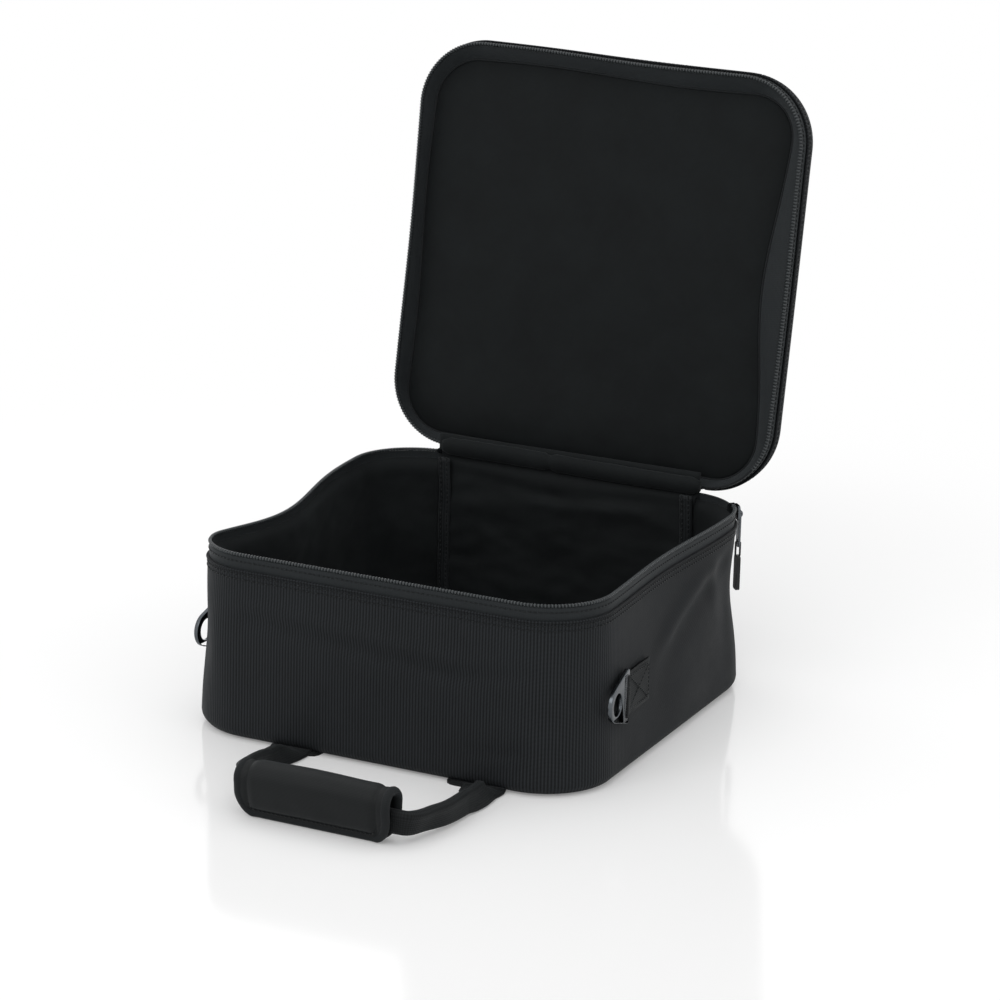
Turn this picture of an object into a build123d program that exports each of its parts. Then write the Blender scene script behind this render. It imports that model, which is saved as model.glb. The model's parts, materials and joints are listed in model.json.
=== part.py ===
"""Soft carry case for trays of gaming miniatures: a padded square tub, a zipped padded lid that folds back on a
cloth hinge, a webbing handle with a wrap-round grip on the base, its pair on the lid, and two shoulder-strap rings.

Millimetres, +Z up, +X to the right, the front facing -Y. The origin is on the floor, at the middle of the tub.
The lid is drawn closed and then turned open. Walls are layers counted inwards from the tub's outer face.
"""

import os
from math import asin, cos, degrees, radians, sin

from build123d import *

# Driving dimensions
WIDTH = 310.0
DEPTH = 306.0
CORNER_R = 50.0
TUB_TOP = 136.0          # height of the zip's coil on the tub
LID_HEIGHT = 27.0        # lid, from the coil up to its outer face
LID_OPEN = 98.0          # how far the lid stands open at rest, in degrees
WEBBING_T = 2.0
STRAP_X = 68.0           # the handles' webbing runs this far each side of the middle
STRAP_W = 38.0
STRAP_SHIFT = 7.0        # the base's webbing and its handle sit a little to the right
HANDLE_REACH = 114.0     # from the base's front edge to the middle of the grip
HANDLE_LIFT = 4.5        # slope of the handle as it lies on the floor, in degrees
RING_Y, RING_Z = -88.0, 59.0
RING_TAB_W = 30.0
RING_LEAF = 42.0         # the sewn part of the webbing behind the ring

# Layers of the wall, measured inwards from the outer face
SHELL_T = 1.2
TAPE_T = 1.0
FOAM_IN = 6.2
LINING_IN = 7.0
COIL_OUT, COIL_IN, COIL_H = 0.4, 3.0, 3.0
STOP_L = 4.0             # the metal stop at the coil's end
BINDING_T = 1.6
BINDING_W = 10.0

# Levels of the tub
BASE_Z = WEBBING_T
BASE_PANEL_T = 1.4
BOARD_T = 3.0
FLOOR_LINING_T = 0.8
BOARD_Z = BASE_Z + BASE_PANEL_T
FLOOR_Z = BOARD_Z + BOARD_T + FLOOR_LINING_T
SHELL_TOP = 124.0
FOAM_TOP = 117.0
TAPE_HEM = 8.0           # how much of the zip's tape is caught under the shell
LINING_LIP = 0.8

# Levels of the closed lid
COIL_GAP = 0.3
LID_COIL_Z = TUB_TOP + COIL_GAP
LID_TOP = TUB_TOP + LID_HEIGHT
LID_PANEL_T = 1.4
LID_BOARD_T = 6.0
LID_LINING_T = 0.8
LID_SHELL_Z = 148.0

# Hinge
HINGE_Y = DEPTH / 2 + 0.5
HINGE_Z = TUB_TOP - 0.5
HINGE_R = 3.0
HINGE_GAP = 0.4
BACK_HALF = WIDTH / 2 - CORNER_R   # half the straight back, between the seams

# Zip slider, this far round the right back corner from its middle line
SLIDER_ANGLE = 42.0
SLIDER_L, SLIDER_H, SLIDER_Z = 11.0, 11.0, 128.0
SLIDER_PLATE_T = 1.6
BAIL_R, BAIL_W = 3.3, 3.2
PULL_Z = 126.5
PULL_OUT = 1.0           # the pull's middle, out from the slider's face


def outline(inset):
    """The case's plan, drawn in by inset."""
    return RectangleRounded(WIDTH - 2 * inset, DEPTH - 2 * inset, CORNER_R - inset)


def slab(inset, z, height):
    """A plate of the case's plan."""
    return Pos(0, 0, z) * extrude(outline(inset), height)


def ring(outer, inner, z, top):
    """A wall of the case's plan, between two layers and two levels."""
    return Pos(0, 0, z) * extrude(outline(outer) - outline(inner), top - z)


def wrap(outer, inner, z, top):
    """A wall round the front, the sides and the corners, left open between the back seams."""
    gap = Pos(0, DEPTH / 2, (z + top) / 2) * Box(2 * BACK_HALF, DEPTH / 2, top - z + 1)
    return ring(outer, inner, z, top) - gap


def back(outer, inner, z, top, half=BACK_HALF):
    """The straight piece of a wall between the back seams."""
    return Pos(0, DEPTH / 2 - (outer + inner) / 2, (z + top) / 2) * Box(2 * half, inner - outer, top - z)


def opened(shape):
    """Turns a shape from the closed lid's place to where it stands at rest."""
    return shape.rotate(Axis((0, HINGE_Y, HINGE_Z), (-1, 0, 0)), LID_OPEN)


def along_x(shape):
    """Stands a flat shape up: its +Y turns to +Z and its thickness to +X."""
    return Rot(0, 0, 90) * Rot(90, 0, 0) * shape


def strip(x, y0, y1, z, width=STRAP_W, thickness=WEBBING_T):
    """A flat length of webbing that runs front to back."""
    return Pos(x, (y0 + y1) / 2, z + thickness / 2) * Box(width, abs(y1 - y0), thickness)


# ---------------------------------------------------------------- tub

def slider_cut(z, height):
    """The space round the back corner that the slider takes out of the coil."""
    reach = 2 * CORNER_R
    start = SLIDER_ANGLE - degrees(asin(SLIDER_L / 2 / CORNER_R)) - 1.0
    wedge = make_face(
        Polyline(
            (0, 0),
            (reach * cos(radians(start)), reach * sin(radians(start))),
            (reach * cos(radians(start)), reach * 2),
            (0, reach * 2),
            (0, 0),
        )
    )
    return Pos(BACK_HALF, DEPTH / 2 - CORNER_R, z) * extrude(wedge, height)


def tub_walls():
    foam = wrap(SHELL_T, FOAM_IN, BOARD_Z, FOAM_TOP)
    step = wrap(SHELL_T, SHELL_T + TAPE_T, SHELL_TOP - TAPE_HEM, FOAM_TOP)
    lining = wrap(FOAM_IN, LINING_IN, BOARD_Z + BOARD_T, FOAM_TOP)
    lip = wrap(SHELL_T + TAPE_T, LINING_IN, FOAM_TOP, FOAM_TOP + LINING_LIP)
    back_top = HINGE_Z - HINGE_R - HINGE_GAP
    return {
        "shell_band": wrap(0, SHELL_T, BASE_Z, SHELL_TOP),
        "shell_back": back(0, SHELL_T, BASE_Z, back_top),
        "wall_foam": foam - step,
        "back_foam": back(SHELL_T, FOAM_IN, BOARD_Z, back_top),
        "lining_band": lining + lip,
        "lining_back": back(FOAM_IN, LINING_IN, BOARD_Z + BOARD_T, back_top),
    }


def tub_floor():
    return {
        "base_panel": slab(SHELL_T, BASE_Z, BASE_PANEL_T),
        "base_board": slab(FOAM_IN, BOARD_Z, BOARD_T),
        "floor_lining": slab(LINING_IN, BOARD_Z + BOARD_T, FLOOR_LINING_T),
        "floor_seam_binding": ring(LINING_IN, LINING_IN + 2.2, FLOOR_Z, FLOOR_Z + 2.2),
    }


def seam_binding(side):
    """The folded tape over the upright seam at one end of the back panel, inside the tub."""
    top = FOAM_TOP - 2
    foot = FLOOR_Z + 2.4
    x = side * (BACK_HALF - BINDING_W / 2 - 0.5)
    y = DEPTH / 2 - LINING_IN - BINDING_T / 2
    return Pos(x, y, (top + foot) / 2) * Box(BINDING_W, BINDING_T, top - foot)


def tub_zip():
    tape = wrap(SHELL_T, SHELL_T + TAPE_T, SHELL_TOP - TAPE_HEM, TUB_TOP - COIL_H)
    coil = wrap(COIL_OUT, COIL_IN, TUB_TOP - COIL_H, TUB_TOP)
    stop = end_stop(TUB_TOP - COIL_H)
    return {
        "tub_zip_tape": tape - slider_pocket(),
        "tub_zip_coil": coil - slider_cut(TUB_TOP - COIL_H - 1, COIL_H + 2) - stop,
        "zip_end_stop": stop,
    }


def end_stop(z):
    """The metal stop clamped over the coil's last turns, at the left end of the hinge."""
    y = DEPTH / 2 - (COIL_OUT + COIL_IN) / 2
    x = -BACK_HALF - STOP_L / 2
    return Pos(x, y, z + COIL_H / 2) * Box(STOP_L, COIL_IN - COIL_OUT + 0.6, COIL_H)


def at_slider(shape):
    """Puts a shape at the slider: its +X runs along the zip, its +Y faces out of the corner."""
    turn = radians(SLIDER_ANGLE)
    x = BACK_HALF + CORNER_R * cos(turn)
    y = DEPTH / 2 - CORNER_R + CORNER_R * sin(turn)
    return Pos(x, y, 0) * Rot(0, 0, SLIDER_ANGLE - 90) * shape


def slider_pocket():
    """Clearance for the slider's post through the tape."""
    return at_slider(Pos(-3.5, -SHELL_T, SLIDER_Z + 3.5) * Box(3.6, 6, 5))


def slider():
    """Two plates joined by a post, with an arched bail that the pull hangs from."""
    plate = extrude(RectangleRounded(SLIDER_L, SLIDER_H, 3.0), SLIDER_PLATE_T)
    outer = Pos(0, SLIDER_PLATE_T, SLIDER_Z) * Rot(90, 0, 0) * plate
    inner = Pos(0, -3.4, SLIDER_Z) * Rot(90, 0, 0) * plate
    post = Pos(-3.5, -1.7, SLIDER_Z + 3.5) * Box(3, 3.5, 4)
    arch = Circle(BAIL_R) - Circle(BAIL_R - 1.1) - Pos(0, -BAIL_R) * Rectangle(8, 2 * BAIL_R)
    bail = Pos(0, SLIDER_PLATE_T, PULL_Z) * Rot(0, 90, 0) * extrude(arch, BAIL_W / 2, both=True)
    return at_slider(Compound([outer + post + inner + bail]))


def ring_tab(side):
    """Webbing folded round the ring's bar and sewn flat to the side, with a loop left open for the bar."""
    face = side * WIDTH / 2
    loop_r = 3.2
    eye = Circle(loop_r) - Circle(loop_r - 1.2)
    loop = Pos(face + side * loop_r, RING_Y, RING_Z - RING_TAB_W / 2) * extrude(eye, RING_TAB_W)
    leaf = Pos(face + side * 1.3, RING_Y + 0.5 + RING_LEAF / 2, RING_Z) * Box(2.4, RING_LEAF, RING_TAB_W)
    wall = Pos(face - side * 5, RING_Y, RING_Z) * Box(10, 60, 60)
    bar = Pos(face + side * loop_r, RING_Y, RING_Z) * Cylinder(loop_r - 1.2, 80)
    return (loop + leaf) - wall - bar


# ---------------------------------------------------------------- lid, drawn closed

def lid_parts():
    panel_z = LID_TOP - LID_PANEL_T
    board_z = panel_z - LID_BOARD_T
    lining_z = board_z - LID_LINING_T
    wall_z = HINGE_Z + HINGE_R + HINGE_GAP
    roll = Pos(0, HINGE_Y, HINGE_Z) * Rot(0, 90, 0) * Cylinder(HINGE_R, 2 * BACK_HALF - 4)
    stop = end_stop(LID_COIL_Z)
    coil = wrap(COIL_OUT, COIL_IN, LID_COIL_Z, LID_COIL_Z + COIL_H)
    coil = coil - slider_cut(LID_COIL_Z - 1, COIL_H + 2)
    parts = {
        "lid_outer_panel": slab(0, panel_z, LID_PANEL_T),
        "lid_band": wrap(0, SHELL_T, LID_SHELL_Z, panel_z),
        "lid_back_wall": back(0, SHELL_T, wall_z, panel_z),
        "lid_foam_board": slab(LINING_IN, board_z, LID_BOARD_T),
        "lid_lining": slab(SHELL_T + TAPE_T, lining_z, LID_LINING_T),
        "lid_lining_binding": ring(LINING_IN - 2, LINING_IN + 1, lining_z - 2, lining_z),
        "lid_zip_tape": wrap(SHELL_T, SHELL_T + TAPE_T, LID_COIL_Z + COIL_H, lining_z),
        "lid_zip_coil": coil - stop,
        "lid_zip_end_stop": stop,
        "hinge_roll": roll,
    }
    for name, x in (("left", -STRAP_X), ("right", STRAP_X)):
        parts["lid_webbing_" + name] = strip(x, -DEPTH / 2, DEPTH / 2 - 6, LID_TOP)
    parts["lid_handle_webbing"] = lid_handle()
    return {name: opened(shape) for name, shape in parts.items()}


LID_KNUCKLE_R = 3.4
LID_AXIS_Y = -DEPTH / 2 + 14
LID_AXIS_Z = LID_TOP + WEBBING_T + LID_KNUCKLE_R + 0.4
LID_HANDLE_HANG = 6.3    # how far the handle stands off the lid when it hangs plumb, in degrees


def lid_handle():
    """A plain webbing loop on the lid's outer face, near its front edge, that hangs plumb when the lid is open."""
    strap_w, leg = 25.0, HANDLE_REACH + 10
    z = LID_AXIS_Z + LID_KNUCKLE_R - WEBBING_T
    bow = FilletPolyline(
        (-STRAP_X, 0), (-STRAP_X, leg), (STRAP_X, leg), (STRAP_X, 0), radius=30
    )
    band = make_face(
        offset(bow, strap_w / 2, side=Side.BOTH, kind=Kind.INTERSECTION).edges()
    )
    caps = Pos(0, -strap_w) * Rectangle(4 * STRAP_X, 2 * strap_w)
    loop = Pos(0, LID_AXIS_Y, z) * extrude(band - caps, WEBBING_T)
    for side in (-1, 1):
        knuckle = Pos(side * STRAP_X, LID_AXIS_Y, LID_AXIS_Z) * Rot(0, 90, 0)
        loop = loop + knuckle * Cylinder(LID_KNUCKLE_R, strap_w)
    return loop.rotate(Axis((0, LID_AXIS_Y, LID_AXIS_Z), (1, 0, 0)), LID_HANDLE_HANG)


# ---------------------------------------------------------------- handle on the base

BASE_AXIS_Y = -DEPTH / 2 - 2.5
BASE_AXIS_Z = 1.3
GRIP_X0, GRIP_X1 = -32.0, 74.0
GRIP_W, GRIP_H = 21.0, 37.0
CORD_W, CORD_H = 4.0, 14.0      # the handle's webbing, folded double and standing on its edge
SLOT_W = 5.0
COVER_T = 1.5
FLAP_R = 14.0
PATCH_H = 9.4
GATHER = 36.0                   # length over which the flat webbing is gathered in
CORD_Z = 10.0                   # middle of the folded webbing
GRIP_Z = 10.7                   # middle of the grip, before the handle is sloped


def base_handle():
    """The handle's pieces, lying forward of the base's front edge."""
    y_far = BASE_AXIS_Y - HANDLE_REACH
    y_near = BASE_AXIS_Y - GATHER
    left, right = STRAP_SHIFT - STRAP_X, STRAP_SHIFT + STRAP_X
    run = FilletPolyline(
        (left, y_near),
        (left + 5, y_near - 36),
        (left + 15, y_far),
        (right + 15, y_far),
        (right + 9, y_near - 30),
        (right, y_near),
        radius=10,
    )
    band = make_face(offset(run, CORD_W / 2, side=Side.BOTH, kind=Kind.INTERSECTION).edges())
    webbing = Pos(0, 0, CORD_Z - CORD_H / 2) * extrude(band, CORD_H)
    for x in (left, right):
        flat = Pos(x, BASE_AXIS_Y, BASE_AXIS_Z) * Rot(90, 0, 0) * Rectangle(
            STRAP_W, WEBBING_T
        )
        stood = Pos(x, y_near - 0.2, CORD_Z) * Rot(90, 0, 0) * Rectangle(
            CORD_W, CORD_H
        )
        knuckle = Pos(x, BASE_AXIS_Y, BASE_AXIS_Z) * Rot(0, 90, 0) * Cylinder(
            WEBBING_T / 2, STRAP_W
        )
        webbing = webbing + loft([flat, stood]) + knuckle

    pieces = {"base_handle_webbing": webbing} | grip(y_far)
    axis = Axis((0, BASE_AXIS_Y, BASE_AXIS_Z), (-1, 0, 0))
    return {name: shape.rotate(axis, HANDLE_LIFT) for name, shape in pieces.items()}


def grip(y_mid):
    """The padded wrap: a fold over the webbing, its two flaps closed by a hook and a loop patch."""
    length = GRIP_X1 - GRIP_X0
    x_mid = (GRIP_X0 + GRIP_X1) / 2
    top = GRIP_H / 2

    def fold(half, crown):
        """An upright fold's section, drawn across the grip and run along it."""
        section = Pos(0, -10) * Rectangle(2 * half, GRIP_H + 20)
        rounded = fillet(section.vertices().group_by(Axis.Y)[-1], half - 0.2)
        lifted = Pos(0, crown - (GRIP_H / 2)) * rounded
        return along_x(extrude(lifted, length / 2 + 1, both=True))

    flap = RectangleRounded(length, GRIP_H + 30, FLAP_R)
    flap_cut = Pos(0, 0, 15) * Rot(90, 0, 0) * extrude(flap, GRIP_W, both=True)
    rim_cut = Pos(0, 0, 15) * Rot(90, 0, 0) * extrude(
        RectangleRounded(length - 12, GRIP_H + 18, FLAP_R - 6), GRIP_W, both=True
    )
    half = GRIP_W / 2
    solid = fold(half, top)
    core = fold(half - COVER_T, top - COVER_T)
    slot = fold(SLOT_W / 2, top - COVER_T - 5.0)
    proud = fold(half + 0.8, top + 0.8)
    below = Pos(0, 0, -GRIP_H) * Box(length + 8, GRIP_W + 8, GRIP_H)
    lower = Pos(0, 0, -GRIP_H / 2 - 20 + 9) * Box(length + 8, GRIP_W + 8, 60)
    cover = (solid - core) & flap_cut
    padding = (core - slot) & flap_cut
    binding = ((proud - solid) & flap_cut - rim_cut) & lower
    patch_z = -GRIP_H / 2 + PATCH_H / 2 + 1
    hook = Pos(0, -SLOT_W / 4, patch_z) * Box(length - 30, SLOT_W / 2, PATCH_H)
    loop = Pos(0, SLOT_W / 4, patch_z) * Box(length - 30, SLOT_W / 2, PATCH_H)
    shapes = {
        "grip_cover": cover - below,
        "grip_padding": padding - below,
        "grip_binding": binding - below,
        "grip_hook_patch": hook,
        "grip_loop_patch": loop,
    }
    return {name: Pos(x_mid, y_mid, GRIP_Z) * shape for name, shape in shapes.items()}


# ---------------------------------------------------------------- rings and pull

RING_BAR_R = 1.6
RING_T = 3.2
RING_EYE_R = 8.0
RING_TILT = 4.0


def strap_ring(side):
    """A cast triangle ring: a bar for the webbing at its wide end, a round eye at its point."""
    reach, bar_half = 32.0, RING_TAB_W / 2 + 4.5
    nose = 12.5
    hull = make_hull(
        [
            *(Pos(0, bar_half - 2.4) * Circle(2.4)).edges(),
            *(Pos(0, -bar_half + 2.4) * Circle(2.4)).edges(),
            *(Pos(-reach + nose, 0) * Circle(nose)).edges(),
        ]
    )
    eye = Pos(-reach + nose, 0) * Circle(RING_EYE_R)
    slot = Pos(-4.6, 0) * RectangleRounded(5.4, RING_TAB_W + 2.6, 1.0)
    plate = extrude(hull - eye - slot, RING_T / 2, both=True)
    trim = Pos(0.5, 0) * Box(5.0, RING_TAB_W + 2.6, 10)
    bar = Rot(90, 0, 0) * Cylinder(RING_BAR_R, RING_TAB_W + 4)
    flat = (plate - trim) + bar
    swung = Rot(0, 0, side * RING_TILT) * along_x(flat)
    return Pos(side * (WIDTH / 2 + 3.2), RING_Y, RING_Z) * swung


TAB_L, TAB_T, TAB_HOLE = 26.0, 1.2, 4.0
LOOP_L, TAG_L = 12.0, 26.0


def pull():
    """A metal tab on the slider's bail, and a moulded tag whose loop hangs through the tab's lower hole."""
    y = SLIDER_PLATE_T + PULL_OUT
    tab = RectangleRounded(7, TAB_L, 3) - Pos(0, TAB_L / 2 - 2.9) * RectangleRounded(4.6, 3.4, 1.2)
    tab = tab - Pos(0, -TAB_L / 2 + TAB_HOLE) * Circle(2.0)
    tab_mid = PULL_Z + 0.6 - TAB_L / 2
    metal = Pos(0, y + TAB_T / 2, tab_mid) * Rot(90, 0, 0) * extrude(tab, TAB_T)
    hole_z = tab_mid - TAB_L / 2 + TAB_HOLE
    eye = RectangleRounded(4.4, LOOP_L, 1.6) - RectangleRounded(2.4, LOOP_L - 2.0, 0.8)
    loop = Pos(0, y, hole_z + 0.5 - LOOP_L / 2) * along_x(extrude(eye, 0.8, both=True))
    foot_z = hole_z + 0.5 - LOOP_L - TAG_L / 2 + 1.0
    foot = extrude(RectangleRounded(8.0, TAG_L, 2.0), 1.2, both=True)
    tag = loop + Pos(0, y, foot_z) * Rot(90, 0, 0) * foot
    return {"pull_tab": at_slider(metal), "pull_tag": at_slider(tag)}


def build():
    nodes = tub_walls() | tub_floor() | tub_zip() | lid_parts() | base_handle() | pull()
    nodes["zip_slider"] = slider()
    for name, side in (("left", -1), ("right", 1)):
        nodes["seam_binding_" + name] = seam_binding(side)
        nodes["base_webbing_" + name] = strip(
            STRAP_SHIFT + side * STRAP_X, BASE_AXIS_Y + 1.3, DEPTH / 2 - 6, 0
        )
        nodes["ring_tab_" + name] = ring_tab(side)
        nodes["strap_ring_" + name] = strap_ring(side)
    return nodes


os.makedirs("parts", exist_ok=True)
for node_name, node_shape in build().items():
    export_step(Compound(node_shape.solids()), f"parts/{node_name}.step")
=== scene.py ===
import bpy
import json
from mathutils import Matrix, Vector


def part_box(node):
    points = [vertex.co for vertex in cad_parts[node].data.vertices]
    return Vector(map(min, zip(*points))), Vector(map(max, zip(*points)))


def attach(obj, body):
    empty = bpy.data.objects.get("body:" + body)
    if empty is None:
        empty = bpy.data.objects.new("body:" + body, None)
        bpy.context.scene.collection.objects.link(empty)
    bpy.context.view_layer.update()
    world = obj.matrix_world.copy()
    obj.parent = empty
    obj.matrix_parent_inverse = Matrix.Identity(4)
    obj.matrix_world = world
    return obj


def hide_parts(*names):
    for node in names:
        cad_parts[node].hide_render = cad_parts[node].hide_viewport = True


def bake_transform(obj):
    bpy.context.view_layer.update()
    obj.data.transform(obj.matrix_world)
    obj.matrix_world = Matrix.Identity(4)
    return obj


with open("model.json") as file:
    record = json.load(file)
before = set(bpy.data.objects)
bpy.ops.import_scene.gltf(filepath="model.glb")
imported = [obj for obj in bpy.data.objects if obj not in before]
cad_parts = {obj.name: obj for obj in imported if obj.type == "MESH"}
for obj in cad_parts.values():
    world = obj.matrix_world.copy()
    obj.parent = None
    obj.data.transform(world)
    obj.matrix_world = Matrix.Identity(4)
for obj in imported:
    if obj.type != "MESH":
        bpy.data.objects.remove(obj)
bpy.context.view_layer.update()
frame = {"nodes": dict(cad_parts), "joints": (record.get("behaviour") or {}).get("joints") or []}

import bpy
import bmesh
import json
import math
import numpy as np
from mathutils import Matrix, Vector, noise

# Soft carry case for gaming miniatures. Lengths in this file are millimetres and become metres in makeMesh.
mm = 0.001


# sizes read from the model

def boxMm(node):
    low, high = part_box(node)
    return np.array(low) / mm, np.array(high) / mm


def jointNamed(name):
    return [j for j in frame["joints"] if j["name"] == name][0]


shellLow, shellHigh = boxMm("shell_band")
coilLow, coilHigh = boxMm("tub_zip_coil")
case = {
    "width": shellHigh[0] - shellLow[0],
    "depth": shellHigh[1] - shellLow[1],
    "cornerR": 50.0,
    "rimZ": coilHigh[2],
    "baseZ": shellLow[2],
    "hemZ": shellHigh[2],       # where the zip's tape comes out of the shell
    "lidHeight": 27.0,
    "lidOpen": 98.0,            # degrees from closed, at rest
}
hingePos = np.array(jointNamed("lid_hinge")["pos_m"]) / mm
halfW, halfD, cornerR = case["width"] / 2, case["depth"] / 2, case["cornerR"]
backHalf = halfW - cornerR


# small tools

def rgb(hexCode):
    # sRGB hex to linear
    parts = [int(hexCode[i:i + 2], 16) / 255 for i in (1, 3, 5)]
    return tuple(c / 12.92 if c <= 0.04045 else ((c + 0.055) / 1.055) ** 2.4 for c in parts) + (1.0,)


def addNode(tree, kind, links=None, **settings):
    # one node with its settings; links is {input: output socket or value}
    node = tree.nodes.new(kind)
    for name, value in settings.items():
        setattr(node, name, value)
    for name, value in (links or {}).items():
        if isinstance(value, bpy.types.NodeSocket):
            tree.links.new(value, node.inputs[name])
        else:
            node.inputs[name].default_value = value
    return node


def smooth(t):
    t = np.clip(t, 0, 1)
    return t * t * (3 - 2 * t)


def bump(t, centre, width):
    return np.exp(-((np.asarray(t, float) - centre) / width) ** 2)


def noise3(points, scale, seed):
    # smooth noise, about -1 to 1, at points in mm
    shift = Vector((seed * 17.3, seed * 5.1, seed * 9.7))
    flat = np.asarray(points, float).reshape(-1, 3) / scale
    values = [noise.noise(Vector(p) + shift) for p in flat]
    return np.array(values).reshape(np.asarray(points).shape[:-1])


def makeMesh(name, verts, faces, uv=None, shadeSmooth=True, material=None):
    # verts in mm; uv is one pair per vertex, in mm
    mesh = bpy.data.meshes.new(name)
    mesh.from_pydata([tuple(v) for v in np.asarray(verts, float).reshape(-1, 3) * mm], [], [tuple(f) for f in faces])
    if uv is not None:
        layer = mesh.uv_layers.new(name="UVMap")
        index = np.empty(len(mesh.loops), int)
        mesh.loops.foreach_get("vertex_index", index)
        layer.data.foreach_set("uv", (np.asarray(uv, float)[index] * mm).ravel().astype(np.float32))
    mesh.polygons.foreach_set("use_smooth", [shadeSmooth] * len(mesh.polygons))
    mesh.update()
    obj = bpy.data.objects.new(name, mesh)
    bpy.context.scene.collection.objects.link(obj)
    if material:
        mesh.materials.append(material)
    return obj


def gridFaces(rows, cols, closeRows=False, closeCols=False, flip=False):
    faces = []
    for i in range(rows if closeRows else rows - 1):
        for j in range(cols if closeCols else cols - 1):
            a, b = i * cols + j, i * cols + (j + 1) % cols
            c, d = ((i + 1) % rows) * cols + (j + 1) % cols, ((i + 1) % rows) * cols + j
            faces.append((a, d, c, b) if flip else (a, b, c, d))
    return faces


def clothFromGrid(name, grid, normals, thickness, uv, material, closeRows=False):
    # a closed sheet: the grid is its outer skin, the inner skin lies thickness behind it
    rows, cols = grid.shape[:2]
    outer, inner = grid.reshape(-1, 3), (grid - normals * thickness).reshape(-1, 3)
    n = rows * cols
    faces = gridFaces(rows, cols, closeRows=closeRows)
    faces += [tuple(n + k for k in reversed(f)) for f in gridFaces(rows, cols, closeRows=closeRows)]
    edge = []
    for i in range(rows if closeRows else rows - 1):
        k = (i + 1) % rows
        edge.append((i * cols, k * cols))
        edge.append((k * cols + cols - 1, i * cols + cols - 1))
    if not closeRows:
        for j in range(cols - 1):
            edge.append((j + 1, j))
            edge.append(((rows - 1) * cols + j, (rows - 1) * cols + j + 1))
    faces += [(a, n + a, n + b, b) for a, b in edge]
    uvAll = np.concatenate([uv.reshape(-1, 2), uv.reshape(-1, 2)])
    obj = makeMesh(name, np.concatenate([outer, inner]), faces, uvAll, material=material)
    fixNormals(obj)
    return obj


def fixNormals(obj):
    bm = bmesh.new()
    bm.from_mesh(obj.data)
    bmesh.ops.recalc_face_normals(bm, faces=bm.faces)
    bm.to_mesh(obj.data)
    bm.free()


def tube(name, path, radius, material, sides=10, closed=False, flat=1.0, up=(0, 0, 1)):
    # a round or flattened bead along a path of points
    path = np.asarray(path, float)
    count = len(path)
    if closed:
        tangent = np.roll(path, -1, 0) - np.roll(path, 1, 0)
    else:
        tangent = np.gradient(path, axis=0)
    tangent /= np.linalg.norm(tangent, axis=1, keepdims=True)
    up = np.broadcast_to(np.asarray(up, float), path.shape)
    side = np.cross(tangent, up)
    side /= np.linalg.norm(side, axis=1, keepdims=True)
    top = np.cross(side, tangent)
    turns = np.arange(sides) * 2 * math.pi / sides
    rings = (
        path[:, None] + radius * (np.cos(turns)[None, :, None] * side[:, None] * flat + np.sin(turns)[None, :, None] * top[:, None])
    )
    faces = gridFaces(count, sides, closeRows=closed, closeCols=True)
    verts = rings.reshape(-1, 3)
    if not closed:
        faces += [tuple(range(sides)), tuple((count - 1) * sides + k for k in reversed(range(sides)))]
    length = np.concatenate([[0], np.cumsum(np.linalg.norm(np.diff(path, axis=0), axis=1))])
    uv = np.stack([np.repeat(length, sides), np.tile(np.arange(sides) * radius * 2 * math.pi / sides, count)], 1)
    obj = makeMesh(name, verts, faces, uv, material=material)
    fixNormals(obj)
    return obj


def subdivide(obj, levels=1):
    sub = obj.modifiers.new("round", "SUBSURF")
    sub.levels = sub.render_levels = levels
    return obj


def joined(name, *objs):
    # several meshes as one piece
    verts, faces, uvs, mats, matIndex = [], [], [], [], []
    base = 0
    for obj in objs:
        mesh = obj.data
        co = np.empty(len(mesh.vertices) * 3)
        mesh.vertices.foreach_get("co", co)
        verts.append(co.reshape(-1, 3) / mm)
        mat = mesh.materials[0]
        if mat not in mats:
            mats.append(mat)
        layer = mesh.uv_layers.active
        for poly in mesh.polygons:
            faces.append([base + v for v in poly.vertices])
            matIndex.append(mats.index(mat))
            for k in poly.loop_indices:
                uvs.append(tuple(layer.data[k].uv) if layer else (0.0, 0.0))
        base += len(mesh.vertices)
        bpy.data.objects.remove(obj)
    out = makeMesh(name, np.concatenate(verts), faces)
    layer = out.data.uv_layers.new(name="UVMap")
    layer.data.foreach_set("uv", np.array(uvs, np.float32).ravel())
    for mat in mats:
        out.data.materials.append(mat)
    out.data.polygons.foreach_set("material_index", matIndex)
    return out


# the case's outline and its slump

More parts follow.
